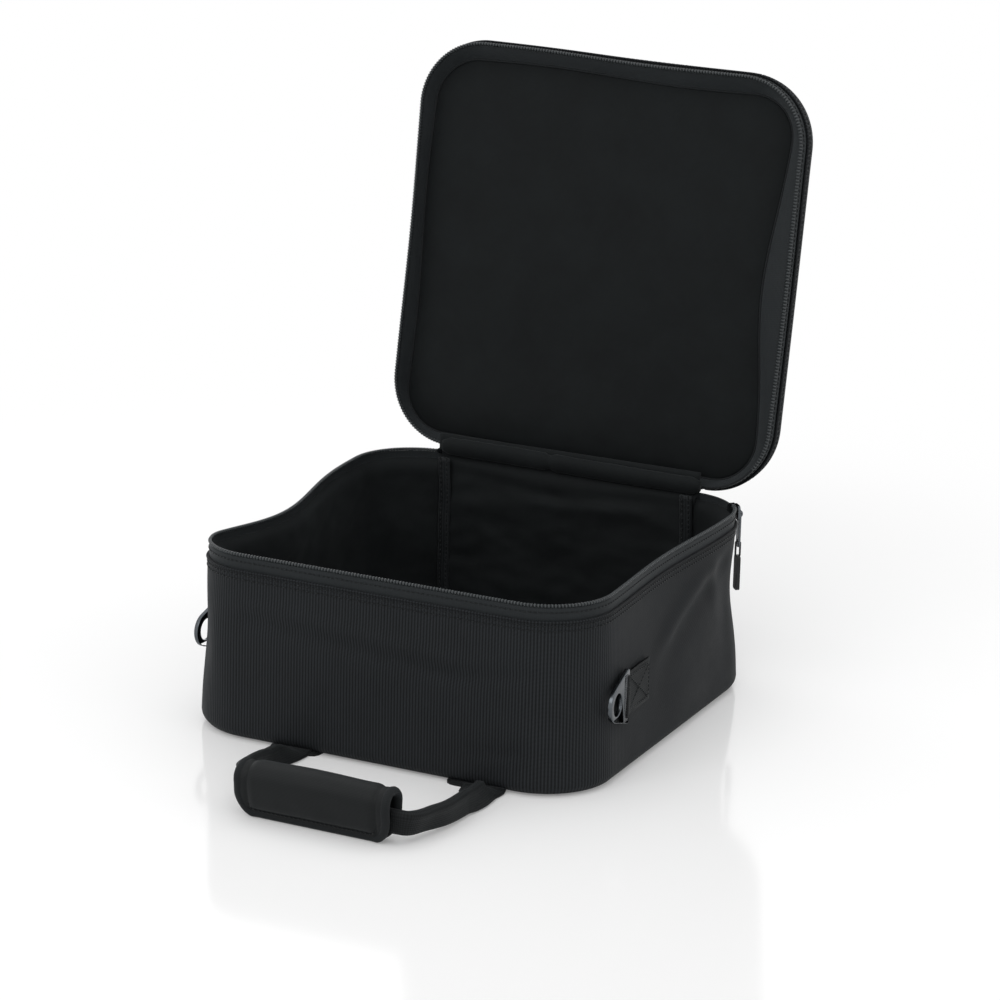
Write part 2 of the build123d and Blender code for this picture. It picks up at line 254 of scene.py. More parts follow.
def outlineAt(length, inset=0.0, half=(halfW, halfD), radius=cornerR):
    # point and outward normal at a length round the plan, from the left back seam, past the left side, front and right
    # side to the right back seam, then along the back; lengths are counted on the outer face
    hw, hd = half
    bh, sh = hw - radius, hd - radius
    arc = radius * math.pi / 2
    total = 4 * arc + 4 * bh + 4 * sh
    length = np.mod(np.asarray(length, float), total)
    x, y, nx, ny = (np.zeros(length.shape) for _ in range(4))
    start = 0.0
    corners = [(-bh, sh, 90), (-bh, -sh, 180), (bh, -sh, 270), (bh, sh, 0)]
    straights = [
        ((-hw, sh), (0, -1), (-1, 0), 2 * sh), ((-bh, -hd), (1, 0), (0, -1), 2 * bh),
        ((hw, -sh), (0, 1), (1, 0), 2 * sh), ((bh, hd), (-1, 0), (0, 1), 2 * bh),
    ]
    for (cx, cy, a0), (origin, way, out, run) in zip(corners, straights):
        here = (length >= start) & (length <= start + arc)
        angle = np.radians(a0) + (length - start) / radius
        x = np.where(here, cx + radius * np.cos(angle), x)
        y = np.where(here, cy + radius * np.sin(angle), y)
        nx, ny = np.where(here, np.cos(angle), nx), np.where(here, np.sin(angle), ny)
        start += arc
        here = (length > start) & (length < start + run)
        x = np.where(here, origin[0] + way[0] * (length - start), x)
        y = np.where(here, origin[1] + way[1] * (length - start), y)
        nx, ny = np.where(here, out[0], nx), np.where(here, out[1], ny)
        start += run
    return np.stack([x - inset * nx, y - inset * ny], -1), np.stack([nx, ny], -1)


arcRun = cornerR * math.pi / 2
sideRun = case["depth"] - 2 * cornerR
frontRun = case["width"] - 2 * cornerR
wallRun = 4 * arcRun + 2 * sideRun + frontRun     # round the wall from one back seam to the other
loopRun = wallRun + frontRun                      # all the way round
leftMid = arcRun + sideRun / 2
frontMid = 2 * arcRun + sideRun + frontRun / 2
rightMid = 3 * arcRun + 1.5 * sideRun + frontRun

slump = {
    "baseFlare": 2.4,       # the walls spread a little at the floor
    "leftDip": 16.0,        # the left rim leans in along its front half
    "leftDrop": 5.0,
    "rightDip": 6.0,
    "rightDrop": 0.5,
    "cornerPull": 4.5,      # the right rear corner is drawn in at half height
    "frontCrease": 1.5,
    "frontBelly": 2.0,
    "sideFold": 3.2,
    "noiseDepth": 0.9,
}


def tubPush(length, z):
    # how far the tub's wall stands out of its straight outline at a point, in mm
    height = (z - case["baseZ"]) / (case["rimZ"] - case["baseZ"])
    low = np.clip(1 - height, 0, 1)
    out = slump["baseFlare"] * low ** 2
    out = out - slump["leftDip"] * bump(length, leftMid + 34, 72) * smooth(height) ** 1.5
    out = out - slump["rightDip"] * bump(length, rightMid - 6, 75) * smooth(height) ** 1.5
    rearCorner = rightMid + sideRun / 2 + 0.28 * arcRun
    out = out - slump["cornerPull"] * bump(length, rearCorner, 36) * (0.4 * smooth(height) + bump(height, 0.55, 0.25))
    out = out + slump["frontBelly"] * bump(length, frontMid, 90) * np.sin(np.clip(height, 0, 1) * math.pi)
    return out


def tubCreases(length, z):
    # folds and dents of the shell cloth only, in mm
    height = (z - case["baseZ"]) / (case["rimZ"] - case["baseZ"])
    fade = smooth(height / 0.08) * smooth((0.86 - height) / 0.12)
    fx = length - frontMid                         # along the front, to the right
    rx = length - rightMid                         # along the right side, to the back
    deep = slump["frontCrease"]
    out = -deep * bump(height, 0.60 - 0.0006 * fx, 0.045) * smooth((105 - fx) / 60) * smooth((fx + 118) / 30)
    out = out + deep * 0.8 * bump(height, 0.67 - 0.0006 * fx, 0.05) * smooth((105 - fx) / 60) * smooth((fx + 118) / 30)
    out = out - deep * 0.7 * bump(height, 0.56 + 0.0012 * (fx - 60), 0.04) * bump(fx, 85, 45)
    out = out - deep * 0.6 * bump(height, 0.18 + 0.0008 * (fx - 80), 0.035) * bump(fx, 100, 40)
    out = out - 2.6 * bump(fx, -150, 16) * bump(height, 0.46, 0.20)       # dent at the left front corner
    out = out + 1.4 * bump(fx, -128, 14) * bump(height, 0.5, 0.22)
    fold = slump["sideFold"]
    line = 0.83 - (71 - rx) * 0.0031               # falls forward from the right back corner
    out = out + fold * bump(height, line, 0.065) * smooth((rx + 45) / 45) * smooth((112 - rx) / 30)
    out = out - fold * 0.5 * bump(height, line - 0.13, 0.08) * smooth((rx + 35) / 45) * smooth((118 - rx) / 30)
    out = out + fold * 0.5 * bump(rx, 70 + 24 * (0.75 - height), 9) * bump(height, 0.72, 0.15)
    out = out - fold * 0.4 * bump(rx, 96, 14) * bump(height, 0.55, 0.3)
    out = out + fold * 0.5 * bump(rx, 20, 34) * bump(height, 0.22, 0.16)
    out = out - fold * 0.4 * bump(rx, -34, 26) * bump(height, 0.30, 0.2)
    lx = length - leftMid                          # along the left side, to the front
    out = out + fold * 0.7 * bump(height, 0.85 - (lx + 110) * 0.005, 0.07) * smooth((lx + 112) / 30) * smooth((40 - lx) / 50)
    return out * fade


def tubPoint(length, z, inset=0.0, creases=0.0):
    length, z = np.broadcast_arrays(np.asarray(length, float), np.asarray(z, float))
    flat, normal = outlineAt(length)
    push = tubPush(length, z)
    if creases:
        push = push + creases * tubCreases(length, z)
    offset = (push - inset)[..., None] * normal
    height = np.clip((z - case["baseZ"]) / (case["rimZ"] - case["baseZ"]), 0, 1)
    drop = slump["leftDrop"] * bump(length, leftMid + 40, 70) + slump["rightDrop"] * bump(length, rightMid, 70)
    zOut = z - drop * smooth(height)
    point = np.concatenate([flat + offset, zOut[..., None]], -1)
    out = np.concatenate([normal, np.zeros(normal.shape[:-1] + (1,))], -1)
    return point, out


# materials

def newMaterial(name):
    mat = bpy.data.materials.new(name)
    mat.use_nodes = True
    tree = mat.node_tree
    tree.nodes.clear()
    shader = addNode(tree, "ShaderNodeBsdfPrincipled")
    addNode(tree, "ShaderNodeOutputMaterial", {"Surface": shader.outputs["BSDF"]})
    return mat, tree, shader


def coords(tree, source, scale, turn=0.0):
    # source is "UV" or "Object"; scale is repeats per millimetre along each axis
    here = addNode(tree, "ShaderNodeTexCoord")
    mapping = addNode(tree, "ShaderNodeMapping", {
        "Vector": here.outputs[source], "Scale": tuple(s / mm for s in scale), "Rotation": (0, 0, turn)})
    return mapping.outputs["Vector"]


def weaveCloth(name, dark, light, ribMm, threadMm, roughness, specular, sheen, bumpMm, blotch=0.25, source="UV", ribShare=1.0, ribsNear=None):
    # ribs run up the cloth, crossed by finer threads; uneven dye and wear come from two sizes of noise
    mat, tree, shader = newMaterial(name)
    ribs = addNode(tree, "ShaderNodeTexWave", {
        "Vector": coords(tree, source, (1 / ribMm, 1 / ribMm, 1 / ribMm)), "Scale": math.pi / 10,
        "Distortion": 0.25, "Detail": 1.0, "Detail Scale": 0.6}, wave_type="BANDS", bands_direction="X", wave_profile="SIN")
    threads = addNode(tree, "ShaderNodeTexWave", {
        "Vector": coords(tree, source, (1 / threadMm, 1 / threadMm, 1 / threadMm)), "Scale": math.pi / 10,
        "Distortion": 0.6, "Detail": 1.0, "Detail Scale": 1.0}, wave_type="BANDS", bands_direction="Y", wave_profile="SIN")
    patches = addNode(tree, "ShaderNodeTexNoise", {
        "Vector": coords(tree, "Object", (1 / 38.0,) * 3), "Scale": 1.0, "Detail": 5.0, "Roughness": 0.66})
    fuzz = addNode(tree, "ShaderNodeTexNoise", {
        "Vector": coords(tree, "Object", (1 / 1.1,) * 3), "Scale": 1.0, "Detail": 2.0, "Roughness": 0.6})
    ribTone = ribs.outputs["Fac"]
    if ribsNear:
        # ribs only round one place along the cloth: (its middle, where they start to fade, where they are gone), mm
        middle, start, end = ribsNear
        here = addNode(tree, "ShaderNodeSeparateXYZ", {0: addNode(tree, "ShaderNodeTexCoord").outputs["UV"]})
        shift = addNode(tree, "ShaderNodeMath", {0: here.outputs["X"], 1: middle * mm}, operation="SUBTRACT")
        far = addNode(tree, "ShaderNodeMath", {0: shift.outputs[0]}, operation="ABSOLUTE")
        gone = addNode(tree, "ShaderNodeMapRange", {"Value": far.outputs[0], "From Min": start * mm, "From Max": end * mm})
        # where the ribs are gone the cloth takes a flat tone of 0.32, below the ribs' mean of 0.5: painted shade that
        # darkens the case's sides
        ribTone = addNode(tree, "ShaderNodeMix", {0: gone.outputs["Result"], 2: ribTone, 3: 0.32}, data_type="FLOAT").outputs[0]
    weave = addNode(tree, "ShaderNodeMix", {
        0: 1 - 0.62 * ribShare, 2: ribTone, 3: threads.outputs["Fac"]}, data_type="FLOAT")
    tone = addNode(tree, "ShaderNodeMix", {
        0: blotch, 2: weave.outputs[0], 3: patches.outputs["Fac"]}, data_type="FLOAT")
    colour = addNode(tree, "ShaderNodeValToRGB", {"Fac": tone.outputs[0]})
    colour.color_ramp.elements[0].position = 0.22
    colour.color_ramp.elements[0].color = rgb(dark)
    colour.color_ramp.elements[1].position = 0.80
    colour.color_ramp.elements[1].color = rgb(light)
    relief = addNode(tree, "ShaderNodeMix", {
        0: 0.22, 2: weave.outputs[0], 3: fuzz.outputs["Fac"]}, data_type="FLOAT")
    bumpNode = addNode(tree, "ShaderNodeBump", {
        "Height": relief.outputs[0], "Distance": bumpMm * mm, "Strength": 1.0})
    rough = addNode(tree, "ShaderNodeMapRange", {
        "Value": patches.outputs["Fac"], "From Min": 0.3, "From Max": 0.7,
        "To Min": roughness - 0.06, "To Max": roughness + 0.06})
    tree.links.new(colour.outputs["Color"], shader.inputs["Base Color"])
    tree.links.new(bumpNode.outputs["Normal"], shader.inputs["Normal"])
    tree.links.new(rough.outputs["Result"], shader.inputs["Roughness"])
    shader.inputs["Specular IOR Level"].default_value = specular
    shader.inputs["IOR"].default_value = 1.5
    shader.inputs["Sheen Weight"].default_value = sheen
    shader.inputs["Sheen Roughness"].default_value = 0.5
    shader.inputs["Sheen Tint"].default_value = (0.9, 0.96, 1.0, 1.0)
    return mat


def castMetal(name, base, roughness):
    # zinc casting under black nickel: grey-blue mirror with a soft rolling grain
    mat, tree, shader = newMaterial(name)
    grain = addNode(tree, "ShaderNodeTexNoise", {
        "Vector": coords(tree, "Object", (1 / 2.5,) * 3), "Scale": 1.0, "Detail": 3.0})
    rough = addNode(tree, "ShaderNodeMapRange", {
        "Value": grain.outputs["Fac"], "From Min": 0.3, "From Max": 0.7, "To Min": roughness * 0.7, "To Max": roughness * 1.4})
    lumps = addNode(tree, "ShaderNodeBump", {"Height": grain.outputs["Fac"], "Distance": 0.05 * mm, "Strength": 0.5})
    tree.links.new(rough.outputs["Result"], shader.inputs["Roughness"])
    tree.links.new(lumps.outputs["Normal"], shader.inputs["Normal"])
    shader.inputs["Base Color"].default_value = rgb(base)
    shader.inputs["Metallic"].default_value = 1.0
    return mat


def plainPlastic(name, base, roughness, grainMm=0.8, depthMm=0.03):
    # moulded nylon: satin, with the faint pebble of a sparked mould
    mat, tree, shader = newMaterial(name)
    grain = addNode(tree, "ShaderNodeTexNoise", {
        "Vector": coords(tree, "Object", (1 / grainMm,) * 3), "Scale": 1.0, "Detail": 2.0})
    tone = addNode(tree, "ShaderNodeMapRange", {
        "Value": grain.outputs["Fac"], "To Min": roughness - 0.08, "To Max": roughness + 0.08})
    lumps = addNode(tree, "ShaderNodeBump", {"Height": grain.outputs["Fac"], "Distance": depthMm * mm, "Strength": 1.0})
    tree.links.new(tone.outputs["Result"], shader.inputs["Roughness"])
    tree.links.new(lumps.outputs["Normal"], shader.inputs["Normal"])
    shader.inputs["Base Color"].default_value = rgb(base)
    shader.inputs["Specular IOR Level"].default_value = 0.35
    return mat


# rib-woven polyester, coated: fine upright ribs with a dull, slightly cool sheen
# away from the front the ribs give way to a flat, darker tone: painted shade on the sides of the tub and lid bands
ribbedPolyester = weaveCloth("ribbedPolyester", "#0c0d0e", "#2f3235", 2.3, 0.9, 0.60, 0.11, 0.03, 0.42, ribsNear=(frontMid, 168, 215))
# plain-woven polyester, coated: smoother, catches the light along its folds
plainPolyester = weaveCloth("plainPolyester", "#0c0e0f", "#1a1d1e", 0.9, 0.9, 0.52, 0.18, 0.05, 0.10, ribShare=0.5)
# brushed nylon lining: soft, even and dark
nylonLining = weaveCloth("nylonLining", "#101213", "#1f2223", 0.8, 0.8, 0.75, 0.11, 0.05, 0.06, blotch=0.75, ribShare=0.5)
# woven zip tape: flat herringbone, a little paler than the shell
zipTapeWeave = weaveCloth("zipTapeWeave", "#15181a", "#2e3234", 1.3, 0.7, 0.60, 0.18, 0.06, 0.12, ribShare=0.4)
# polypropylene webbing: coarse rows of thick yarn with a dull shine
webbingWeave = weaveCloth("webbingWeave", "#0a0b0c", "#1c1f20", 1.6, 1.3, 0.60, 0.15, 0.05, 0.35, ribShare=0.75)
# bias binding tape: fine cross-ribs, folded over raw edges
bindingWeave = weaveCloth("bindingWeave", "#0e1011", "#25282a", 0.9, 0.6, 0.62, 0.15, 0.05, 0.12, ribShare=0.6)
# twisted polyester thread
sewingThread = weaveCloth("sewingThread", "#17191a", "#3e4244", 0.5, 0.5, 0.5, 0.2, 0.05, 0.05)
# nylon coil of the zip: dark, satin, bright along its turns
nylonCoil = plainPlastic("nylonCoil", "#3c4042", 0.28)
# black-nickel cast zinc
blackNickel = castMetal("blackNickel", "#5b5f63", 0.20)
mouldedTag = plainPlastic("mouldedTag", "#191a1b", 0.45)
# hook-and-loop patches, seen only at their edges
hookLoop = weaveCloth("hookLoop", "#101112", "#2a2b2c", 0.7, 0.7, 0.9, 0.15, 0.15, 0.3, ribShare=0.5)
print("materials made")


# repeated small pieces, by geometry nodes

def pathCurve(name, path, closed=False):
    curve = bpy.data.curves.new(name, "CURVE")
    curve.dimensions = "3D"
    spline = curve.splines.new("POLY")
    spline.points.add(len(path) - 1)
    flat = np.concatenate([np.asarray(path) * mm, np.ones((len(path), 1))], 1)
    spline.points.foreach_set("co", flat.ravel())
    spline.use_cyclic_u = closed
    obj = bpy.data.objects.new(name, curve)
    bpy.context.scene.collection.objects.link(obj)
    return obj


def alongPathTree(name, material):
    # sets copies of a small solid along a path, each turned to follow it
    tree = bpy.data.node_groups.new(name, "GeometryNodeTree")
    tree.is_modifier = True
    face = tree.interface
    face.new_socket("Geometry", in_out="INPUT", socket_type="NodeSocketGeometry")
    for label in ("Pitch", "Length", "Width", "Height", "Lean"):
        face.new_socket(label, in_out="INPUT", socket_type="NodeSocketFloat")
    face.new_socket("Geometry", in_out="OUTPUT", socket_type="NodeSocketGeometry")
    start = addNode(tree, "NodeGroupInput")
    get = start.outputs
    points = addNode(tree, "GeometryNodeCurveToPoints", {"Curve": get["Geometry"], "Length": get["Pitch"]}, mode="LENGTH")
    size = addNode(tree, "ShaderNodeCombineXYZ", {"X": get["Width"], "Y": get["Height"], "Z": get["Length"]})
    ball = addNode(tree, "GeometryNodeMeshCylinder", {"Vertices": 6, "Radius": 0.5, "Depth": 0.72}, fill_type="NGON")
    lean = addNode(tree, "ShaderNodeCombineXYZ", {"Y": get["Lean"]})
    turned = addNode(tree, "FunctionNodeRotateRotation", {
        "Rotation": points.outputs["Rotation"], "Rotate By": lean.outputs["Vector"]}, rotation_space="LOCAL")
    spread = addNode(tree, "GeometryNodeInstanceOnPoints", {
        "Points": points.outputs["Points"], "Instance": ball.outputs["Mesh"],
        "Rotation": turned.outputs["Rotation"], "Scale": size.outputs["Vector"]})
    real = addNode(tree, "GeometryNodeRealizeInstances", {"Geometry": spread.outputs["Instances"]})
    dressed = addNode(tree, "GeometryNodeSetMaterial", {"Geometry": real.outputs["Geometry"], "Material": material})
    addNode(tree, "NodeGroupOutput", {"Geometry": dressed.outputs["Geometry"]})
    return tree


def alongPath(name, path, tree, sizes, closed=False):
    # runs the tree on a path and keeps the result as a plain mesh
    curve = pathCurve(name + "Path", path, closed)
    holder = bpy.data.objects.new(name + "Holder", curve.data.copy())
    bpy.context.scene.collection.objects.link(holder)
    mod = holder.modifiers.new("along", "NODES")
    mod.node_group = tree
    for item in tree.interface.items_tree:
        if item.item_type == "SOCKET" and item.in_out == "INPUT" and item.name in sizes:
            mod[item.identifier] = float(sizes[item.name])
    bpy.context.view_layer.update()
    deps = bpy.context.evaluated_depsgraph_get()
    mesh = bpy.data.meshes.new_from_object(holder.evaluated_get(deps))
    mesh.name = name
    material = next(m for m in mesh.materials if m)
    mesh.materials.clear()
    mesh.materials.append(material)
    mesh.polygons.foreach_set("material_index", [0] * len(mesh.polygons))
    holder.modifiers.remove(mod)
    for old in (holder, curve):
        bpy.data.objects.remove(old)
    mesh.polygons.foreach_set("use_smooth", [True] * len(mesh.polygons))
    obj = bpy.data.objects.new(name, mesh)
    bpy.context.scene.collection.objects.link(obj)
    return obj


coilTree = alongPathTree("coilTurns", nylonCoil)
stitchTree = alongPathTree("stitchRow", sewingThread)
coilSizes = {"Pitch": 2.3 * mm, "Length": 1.5 * mm, "Width": 3.0 * mm, "Height": 2.6 * mm, "Lean": 0.0}
stitchSizes = {"Pitch": 3.6 * mm, "Length": 3.2 * mm, "Width": 0.7 * mm, "Height": 0.7 * mm, "Lean": 0.12}


def keep(obj, body, slot, *nodes):
    # the piece rides on its body and stands for its nodes
    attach(obj, body)
    if nodes:
        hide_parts(*nodes)
    return obj


# tub

wallSizes = {"shell": 1.2, "tapeInset": 1.2, "tape": 1.0, "liningInset": 7.0, "lining": 0.8, "turnUnder": 7.0, "stepMm": 3.0}


def wallGrid(l0, l1, profile, creases=0.0, step=None):
    # a grid over a stretch of wall; profile is a list of (inset, z) from bottom to top
    count = int((l1 - l0) / (step or wallSizes["stepMm"])) + 1
    lengths = np.linspace(l0, l1, count)
    profile = np.array(profile, float)
    ll = np.repeat(lengths[:, None], len(profile), 1)
    zz = np.repeat(profile[None, :, 1], count, 0)
    point, normal = tubPoint(ll, zz, 0.0, creases)
    point = point - profile[None, :, 0, None] * normal
    run = np.concatenate([[0], np.cumsum(np.linalg.norm(np.diff(profile, axis=0), axis=1))])
    uv = np.stack([ll, np.repeat(run[None], count, 0)], -1)
    return point, normal, uv


def shellProfile(top):
    low = case["baseZ"]
    turn = wallSizes["turnUnder"]
    zs = np.concatenate([low + np.array([0.0, 0.4, 1.2, 2.6, 4.6, 7.0]), np.arange(low + 10, top - 2.4, 3.2), [top - 2.2, top - 1.0, top]])
    inset = 4.0 * np.clip(1 - (zs - low) / turn, 0, 1) ** 2
    return np.stack([inset, zs], -1)


def buildShell():
    hem = case["hemZ"]
    grid, normal, uv = wallGrid(0, wallRun, shellProfile(hem), creases=1.0)
    shell = clothFromGrid("shellBand", grid, normal, 1.1, uv, ribbedPolyester)
    hemPath = tubPoint(np.linspace(0, wallRun, 360), hem - 0.7, -0.25)[0]
    roll = tube("shellHemRoll", hemPath, 0.85, ribbedPolyester, sides=8)
    keep(joined("shellBand", shell, roll), "tub", "shell_cloth", "shell_band", "wall_foam")
    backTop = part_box("shell_back")[1][2] / mm
    grid, normal, uv = wallGrid(wallRun, loopRun, shellProfile(backTop), creases=1.0)
    keep(clothFromGrid("shellBack", grid, normal, 1.1, uv, plainPolyester), "tub", "shell_cloth", "shell_back", "back_foam")
    rows = []
    for drop in (3.4, 6.6):
        path = tubPoint(np.linspace(2, wallRun - 2, 420), hem - drop, -0.15, 1.0)[0]
        rows.append(alongPath("row", path, stitchTree, stitchSizes))
    for seam in (wallRun + 3.2, loopRun - 3.2):
        zs = np.linspace(case["baseZ"] + 6, backTop - 5, 40)
        rows.append(alongPath("row", tubPoint(np.full(40, seam), zs, -0.15, 1.0)[0], stitchTree, stitchSizes))
    keep(joined("shellStitches", *rows), "tub", "shell_cloth")
    for side, seam in (("Left", loopRun), ("Right", wallRun)):
        zs = np.linspace(case["baseZ"] + 3, backTop - 1, 40)
        path = tubPoint(np.full(40, seam), zs, -0.1, 0.0)[0]
        keep(tube("backSeam" + side, path, 1.0, bindingWeave, sides=8, up=(0, 1, 0)), "tub", "shell_cloth")


def plate(name, z, inset, material, puff=0.0, rings=14, steps=260, wrinkle=0.0, seed=1, radiusKeep=True):
    # a flat piece with the case's plan, made of rings that shrink to the middle
    lengths = np.linspace(0, loopRun, steps, endpoint=False)
    edge, normal = outlineAt(lengths)
    edge = edge - inset * normal
    verts, uv = [], []
    for k in range(rings):
        t = k / (rings - 1)
        scale = 1 - t ** 1.15
        flat = edge * scale
        lift = puff * np.sqrt(np.clip(1 - scale ** 6, 0, 1))
        pts = np.concatenate([flat, np.full((steps, 1), z) + lift], 1)
        if wrinkle:
            pts[:, 2] += wrinkle * noise3(pts * (1, 1, 0), 55, seed) * min(1, 4 * (1 - scale))
        verts.append(pts)
        uv.append(flat)
    last = verts.pop()
    uv.pop()
    verts.append(last[:1])
    uv.append(np.zeros((1, 2)))
    faces = gridFaces(rings - 1, steps, closeCols=True)
    centre = (rings - 1) * steps
    faces += [((rings - 2) * steps + j, (rings - 2) * steps + (j + 1) % steps, centre) for j in range(steps)]
    return np.concatenate(verts), faces, np.concatenate(uv)


def solidPlate(name, z, inset, thickness, material, **shape):
    # closed top and bottom skins
    top, faces, uv = plate(name, z, inset, material, **shape)
    n = len(top)
    bottom = top - (0, 0, thickness)
    steps = shape.get("steps", 260)
    faces = faces + [tuple(n + k for k in reversed(f)) for f in faces]
    faces += [(j, n + j, n + (j + 1) % steps, (j + 1) % steps) for j in range(steps)]
    obj = makeMesh(name, np.concatenate([top, bottom]), faces, np.concatenate([uv, uv]), material=material)
    fixNormals(obj)
    return obj


def buildBase():
    keep(solidPlate("basePanel", case["baseZ"] + 1.3, 4.3, 1.1, plainPolyester, wrinkle=0.15), "tub", "base_cloth", "base_panel")
    path = tubPoint(np.linspace(0, loopRun, 400, endpoint=False), case["baseZ"] + 1.0, 4.4)[0]
    keep(tube("basePiping", path, 1.0, bindingWeave, closed=True, sides=8), "tub", "base_cloth")
    for side in ("left", "right"):
        low, high = boxMm("base_webbing_" + side)
        midX, halfWide = (low[0] + high[0]) / 2, (high[0] - low[0]) / 2
        ys = np.concatenate([[low[1] - 3.4, low[1] - 2.9, low[1] - 1.4, low[1] + 1.5, low[1] + 6], np.linspace(low[1] + 12, high[1], 50)])
        wide = np.concatenate([[0.55, 0.72, 0.88, 0.97, 1.0], np.ones(50)]) * halfWide
        across = np.linspace(-1, 1, 13)
        grid = np.zeros((len(ys), 13, 3))
        grid[..., 0] = midX + wide[:, None] * across[None]
        grid[..., 1] = ys[:, None]
        grid[..., 2] = 1.95 - 0.5 * np.abs(across[None]) ** 6
        normal = np.zeros_like(grid)
        normal[..., 2] = 1
        uv = np.stack([grid[..., 0], grid[..., 1]], -1)
        strap = clothFromGrid("strap", grid, normal, 1.8, uv, webbingWeave)
        keep(joined("baseWebbing" + side.capitalize(), strap), "tub", "webbing", "base_webbing_" + side)


liningFolds = {"depth": 2.1, "topSag": 3.4, "seed": 4}


def liningPush(length, z, side):
    # loose lining: sags under the rim and puckers into soft slanting folds
    point = np.stack([length, z * 1.0, np.full(np.shape(length), side * 40.0)], -1)
    height = np.clip((z - 8) / (case["rimZ"] - 23), 0, 1)
    soft = noise3(point * (0.6, 1.0, 1), 34, liningFolds["seed"]) + 0.5 * noise3(point * (1.0, 1.6, 1), 15, liningFolds["seed"] + 1)
    return liningFolds["depth"] * soft * smooth(height / 0.15) * smooth((1 - height) / 0.06)


def liningProfile(top):
    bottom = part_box("floor_lining")[1][2] / mm
    zs = list(np.arange(bottom + 2.4, top - 12, 3.2))
    rows = [(9.6, bottom + 0.2), (7.9, bottom + 0.9)] + [(7.0, z) for z in zs]
    return rows + [(6.9, top - 9), (6.3, top - 5.4), (5.0, top - 2.6), (3.5, top - 1.0), (2.5, top)]


def buildLining():
    top = case["rimZ"] - 8
    profile = liningProfile(top)
    grid, normal, uv = wallGrid(0, wallRun, profile, step=4.0)
    push = liningPush(uv[..., 0], grid[..., 2], 1)
    sag = np.array([min(1.0, max(0.0, (inset - 2.4) / 4.0)) for inset, z in profile])
    grid = grid + normal * (push * sag[None])[..., None]
    obj = clothFromGrid("liningBand", grid + normal * 0.7, normal, 0.7, uv, nylonLining)
    keep(obj, "tub", "lining_cloth", "lining_band")
    backTop = hingePos[2] - 4.4
    profile = liningProfile(backTop)
    grid, normal, uv = wallGrid(wallRun, loopRun, profile, step=4.0)
    mid = (uv[..., 0] - wallRun) / frontRun
    push = 1.5 * liningPush(uv[..., 0], grid[..., 2], 2)
    height = grid[..., 2] / backTop
    push = push - 2.2 * bump(height, 0.80 + 0.05 * np.sin(mid * 5), 0.045) * smooth(mid / 0.2) * smooth((1 - mid) / 0.1)
    push = push + 2.0 * bump(height, 0.90 + 0.03 * np.sin(mid * 7 + 1), 0.035)
    sag = np.array([min(1.0, max(0.0, (inset - 2.4) / 4.0)) for inset, z in profile])
    grid = grid + normal * (push * sag[None])[..., None]
    keep(clothFromGrid("liningBack", grid + normal * 0.7, normal, 0.7, uv, nylonLining), "tub", "lining_cloth", "lining_back")
    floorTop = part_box("floor_lining")[1][2] / mm
    keep(solidPlate("floorLining", floorTop, 7.6, 0.7, nylonLining, wrinkle=0.5, seed=3, rings=26), "tub", "lining_cloth",
         "floor_lining", "base_board")
    path = tubPoint(np.linspace(0, loopRun, 400, endpoint=False), floorTop + 1.3, 9.0)[0]
    bead = tube("bead", path, 1.3, bindingWeave, closed=True, sides=8)
    keep(joined("floorSeamBinding", bead), "tub", "binding_tape", "floor_seam_binding")
    for side in ("left", "right"):
        low, high = boxMm("seam_binding_" + side)
        midX = (low[0] + high[0]) / 2
        zs = np.linspace(low[2], hingePos[2] - 4, 44)
        length = loopRun - (midX + backHalf) if side == "left" else wallRun + (backHalf - midX)
        wallPush = tubPush(np.full(44, length), zs)
        y = halfD + wallPush - 8.6 - 0.9 * noise3(np.stack([zs, zs * 0, zs * 0], -1), 22, 6) - 1.2 * smooth((zs - 95) / 20) * 0
        path = np.stack([midX + 1.2 * noise3(np.stack([zs, zs * 0 + 9, zs * 0], -1), 30, 7), y, zs], -1)
        strip = tube("strip", path, 1.3, bindingWeave, sides=12, flat=3.8, up=(0, 1, 0))
        rows = []
        for shift in (-2.6, 2.6):
            rows.append(alongPath("row", path + (shift, -1.25, 0), stitchTree, stitchSizes))
        keep(joined("seamBinding" + side.capitalize(), strip, *rows), "tub", "binding_tape", "seam_binding_" + side)


def sliderLength():
    # where the parked slider stands, as a length round the wall
    centre = np.array(jointNamed("pull_swing")["pos_m"]) / mm
    angle = math.atan2(centre[1] - (halfD - cornerR), centre[0] - backHalf)
    return 3 * arcRun + 2 * sideRun + frontRun + angle * cornerR


def buildTubZip():
    top = case["rimZ"] - 2.6
    stop = sliderLength()
    grid, normal, uv = wallGrid(0, wallRun, [
        (1.4, top - 20), (1.4, top - 16), (1.35, top - 12), (1.2, top - 9), (1.0, top - 6), (1.0, top - 3), (1.2, top - 1), (1.5, top)])
    keep(clothFromGrid("tubZipTape", grid, normal, 0.9, uv, zipTapeWeave), "tub", "zip_tape", "tub_zip_tape")
    path = tubPoint(np.linspace(1, stop - 6, 700), case["rimZ"] - 1.6, 1.7)[0]
    coil = alongPath("coil", path, coilTree, coilSizes)
    core = tube("core", path, 0.9, zipTapeWeave, sides=6)
    keep(joined("tubZipCoil", coil, core), "tub", "zip_coil", "tub_zip_coil")
    path = tubPoint(np.linspace(2, wallRun - 2, 420), top - 3.6, 0.75)[0]
    keep(alongPath("tubTapeStitches", path, stitchTree, stitchSizes), "tub", "zip_tape")


buildShell()
buildBase()
buildLining()
buildTubZip()
print("tub built")


# lid, shaped closed and then opened

lidSizes = {
    "coilZ": case["rimZ"] + 0.3, "topZ": case["rimZ"] + case["lidHeight"], "bandZ": case["rimZ"] + 12, "crown": 4.0,
    "askew": 1.0, "seamLeft": 7.0, "seamRight": 13.0, "seamFront": 14.0, "seamBack": 7.0, "seamZ": case["rimZ"] + 15.5, "seamR": 36.0, "puff": 5.0,
}
turnOpen = Matrix.Translation(Vector(hingePos)) @ Matrix.Rotation(-math.radians(case["lidOpen"]), 4, "X") @ Matrix.Translation(-Vector(hingePos))
turnOpen = np.array(turnOpen)


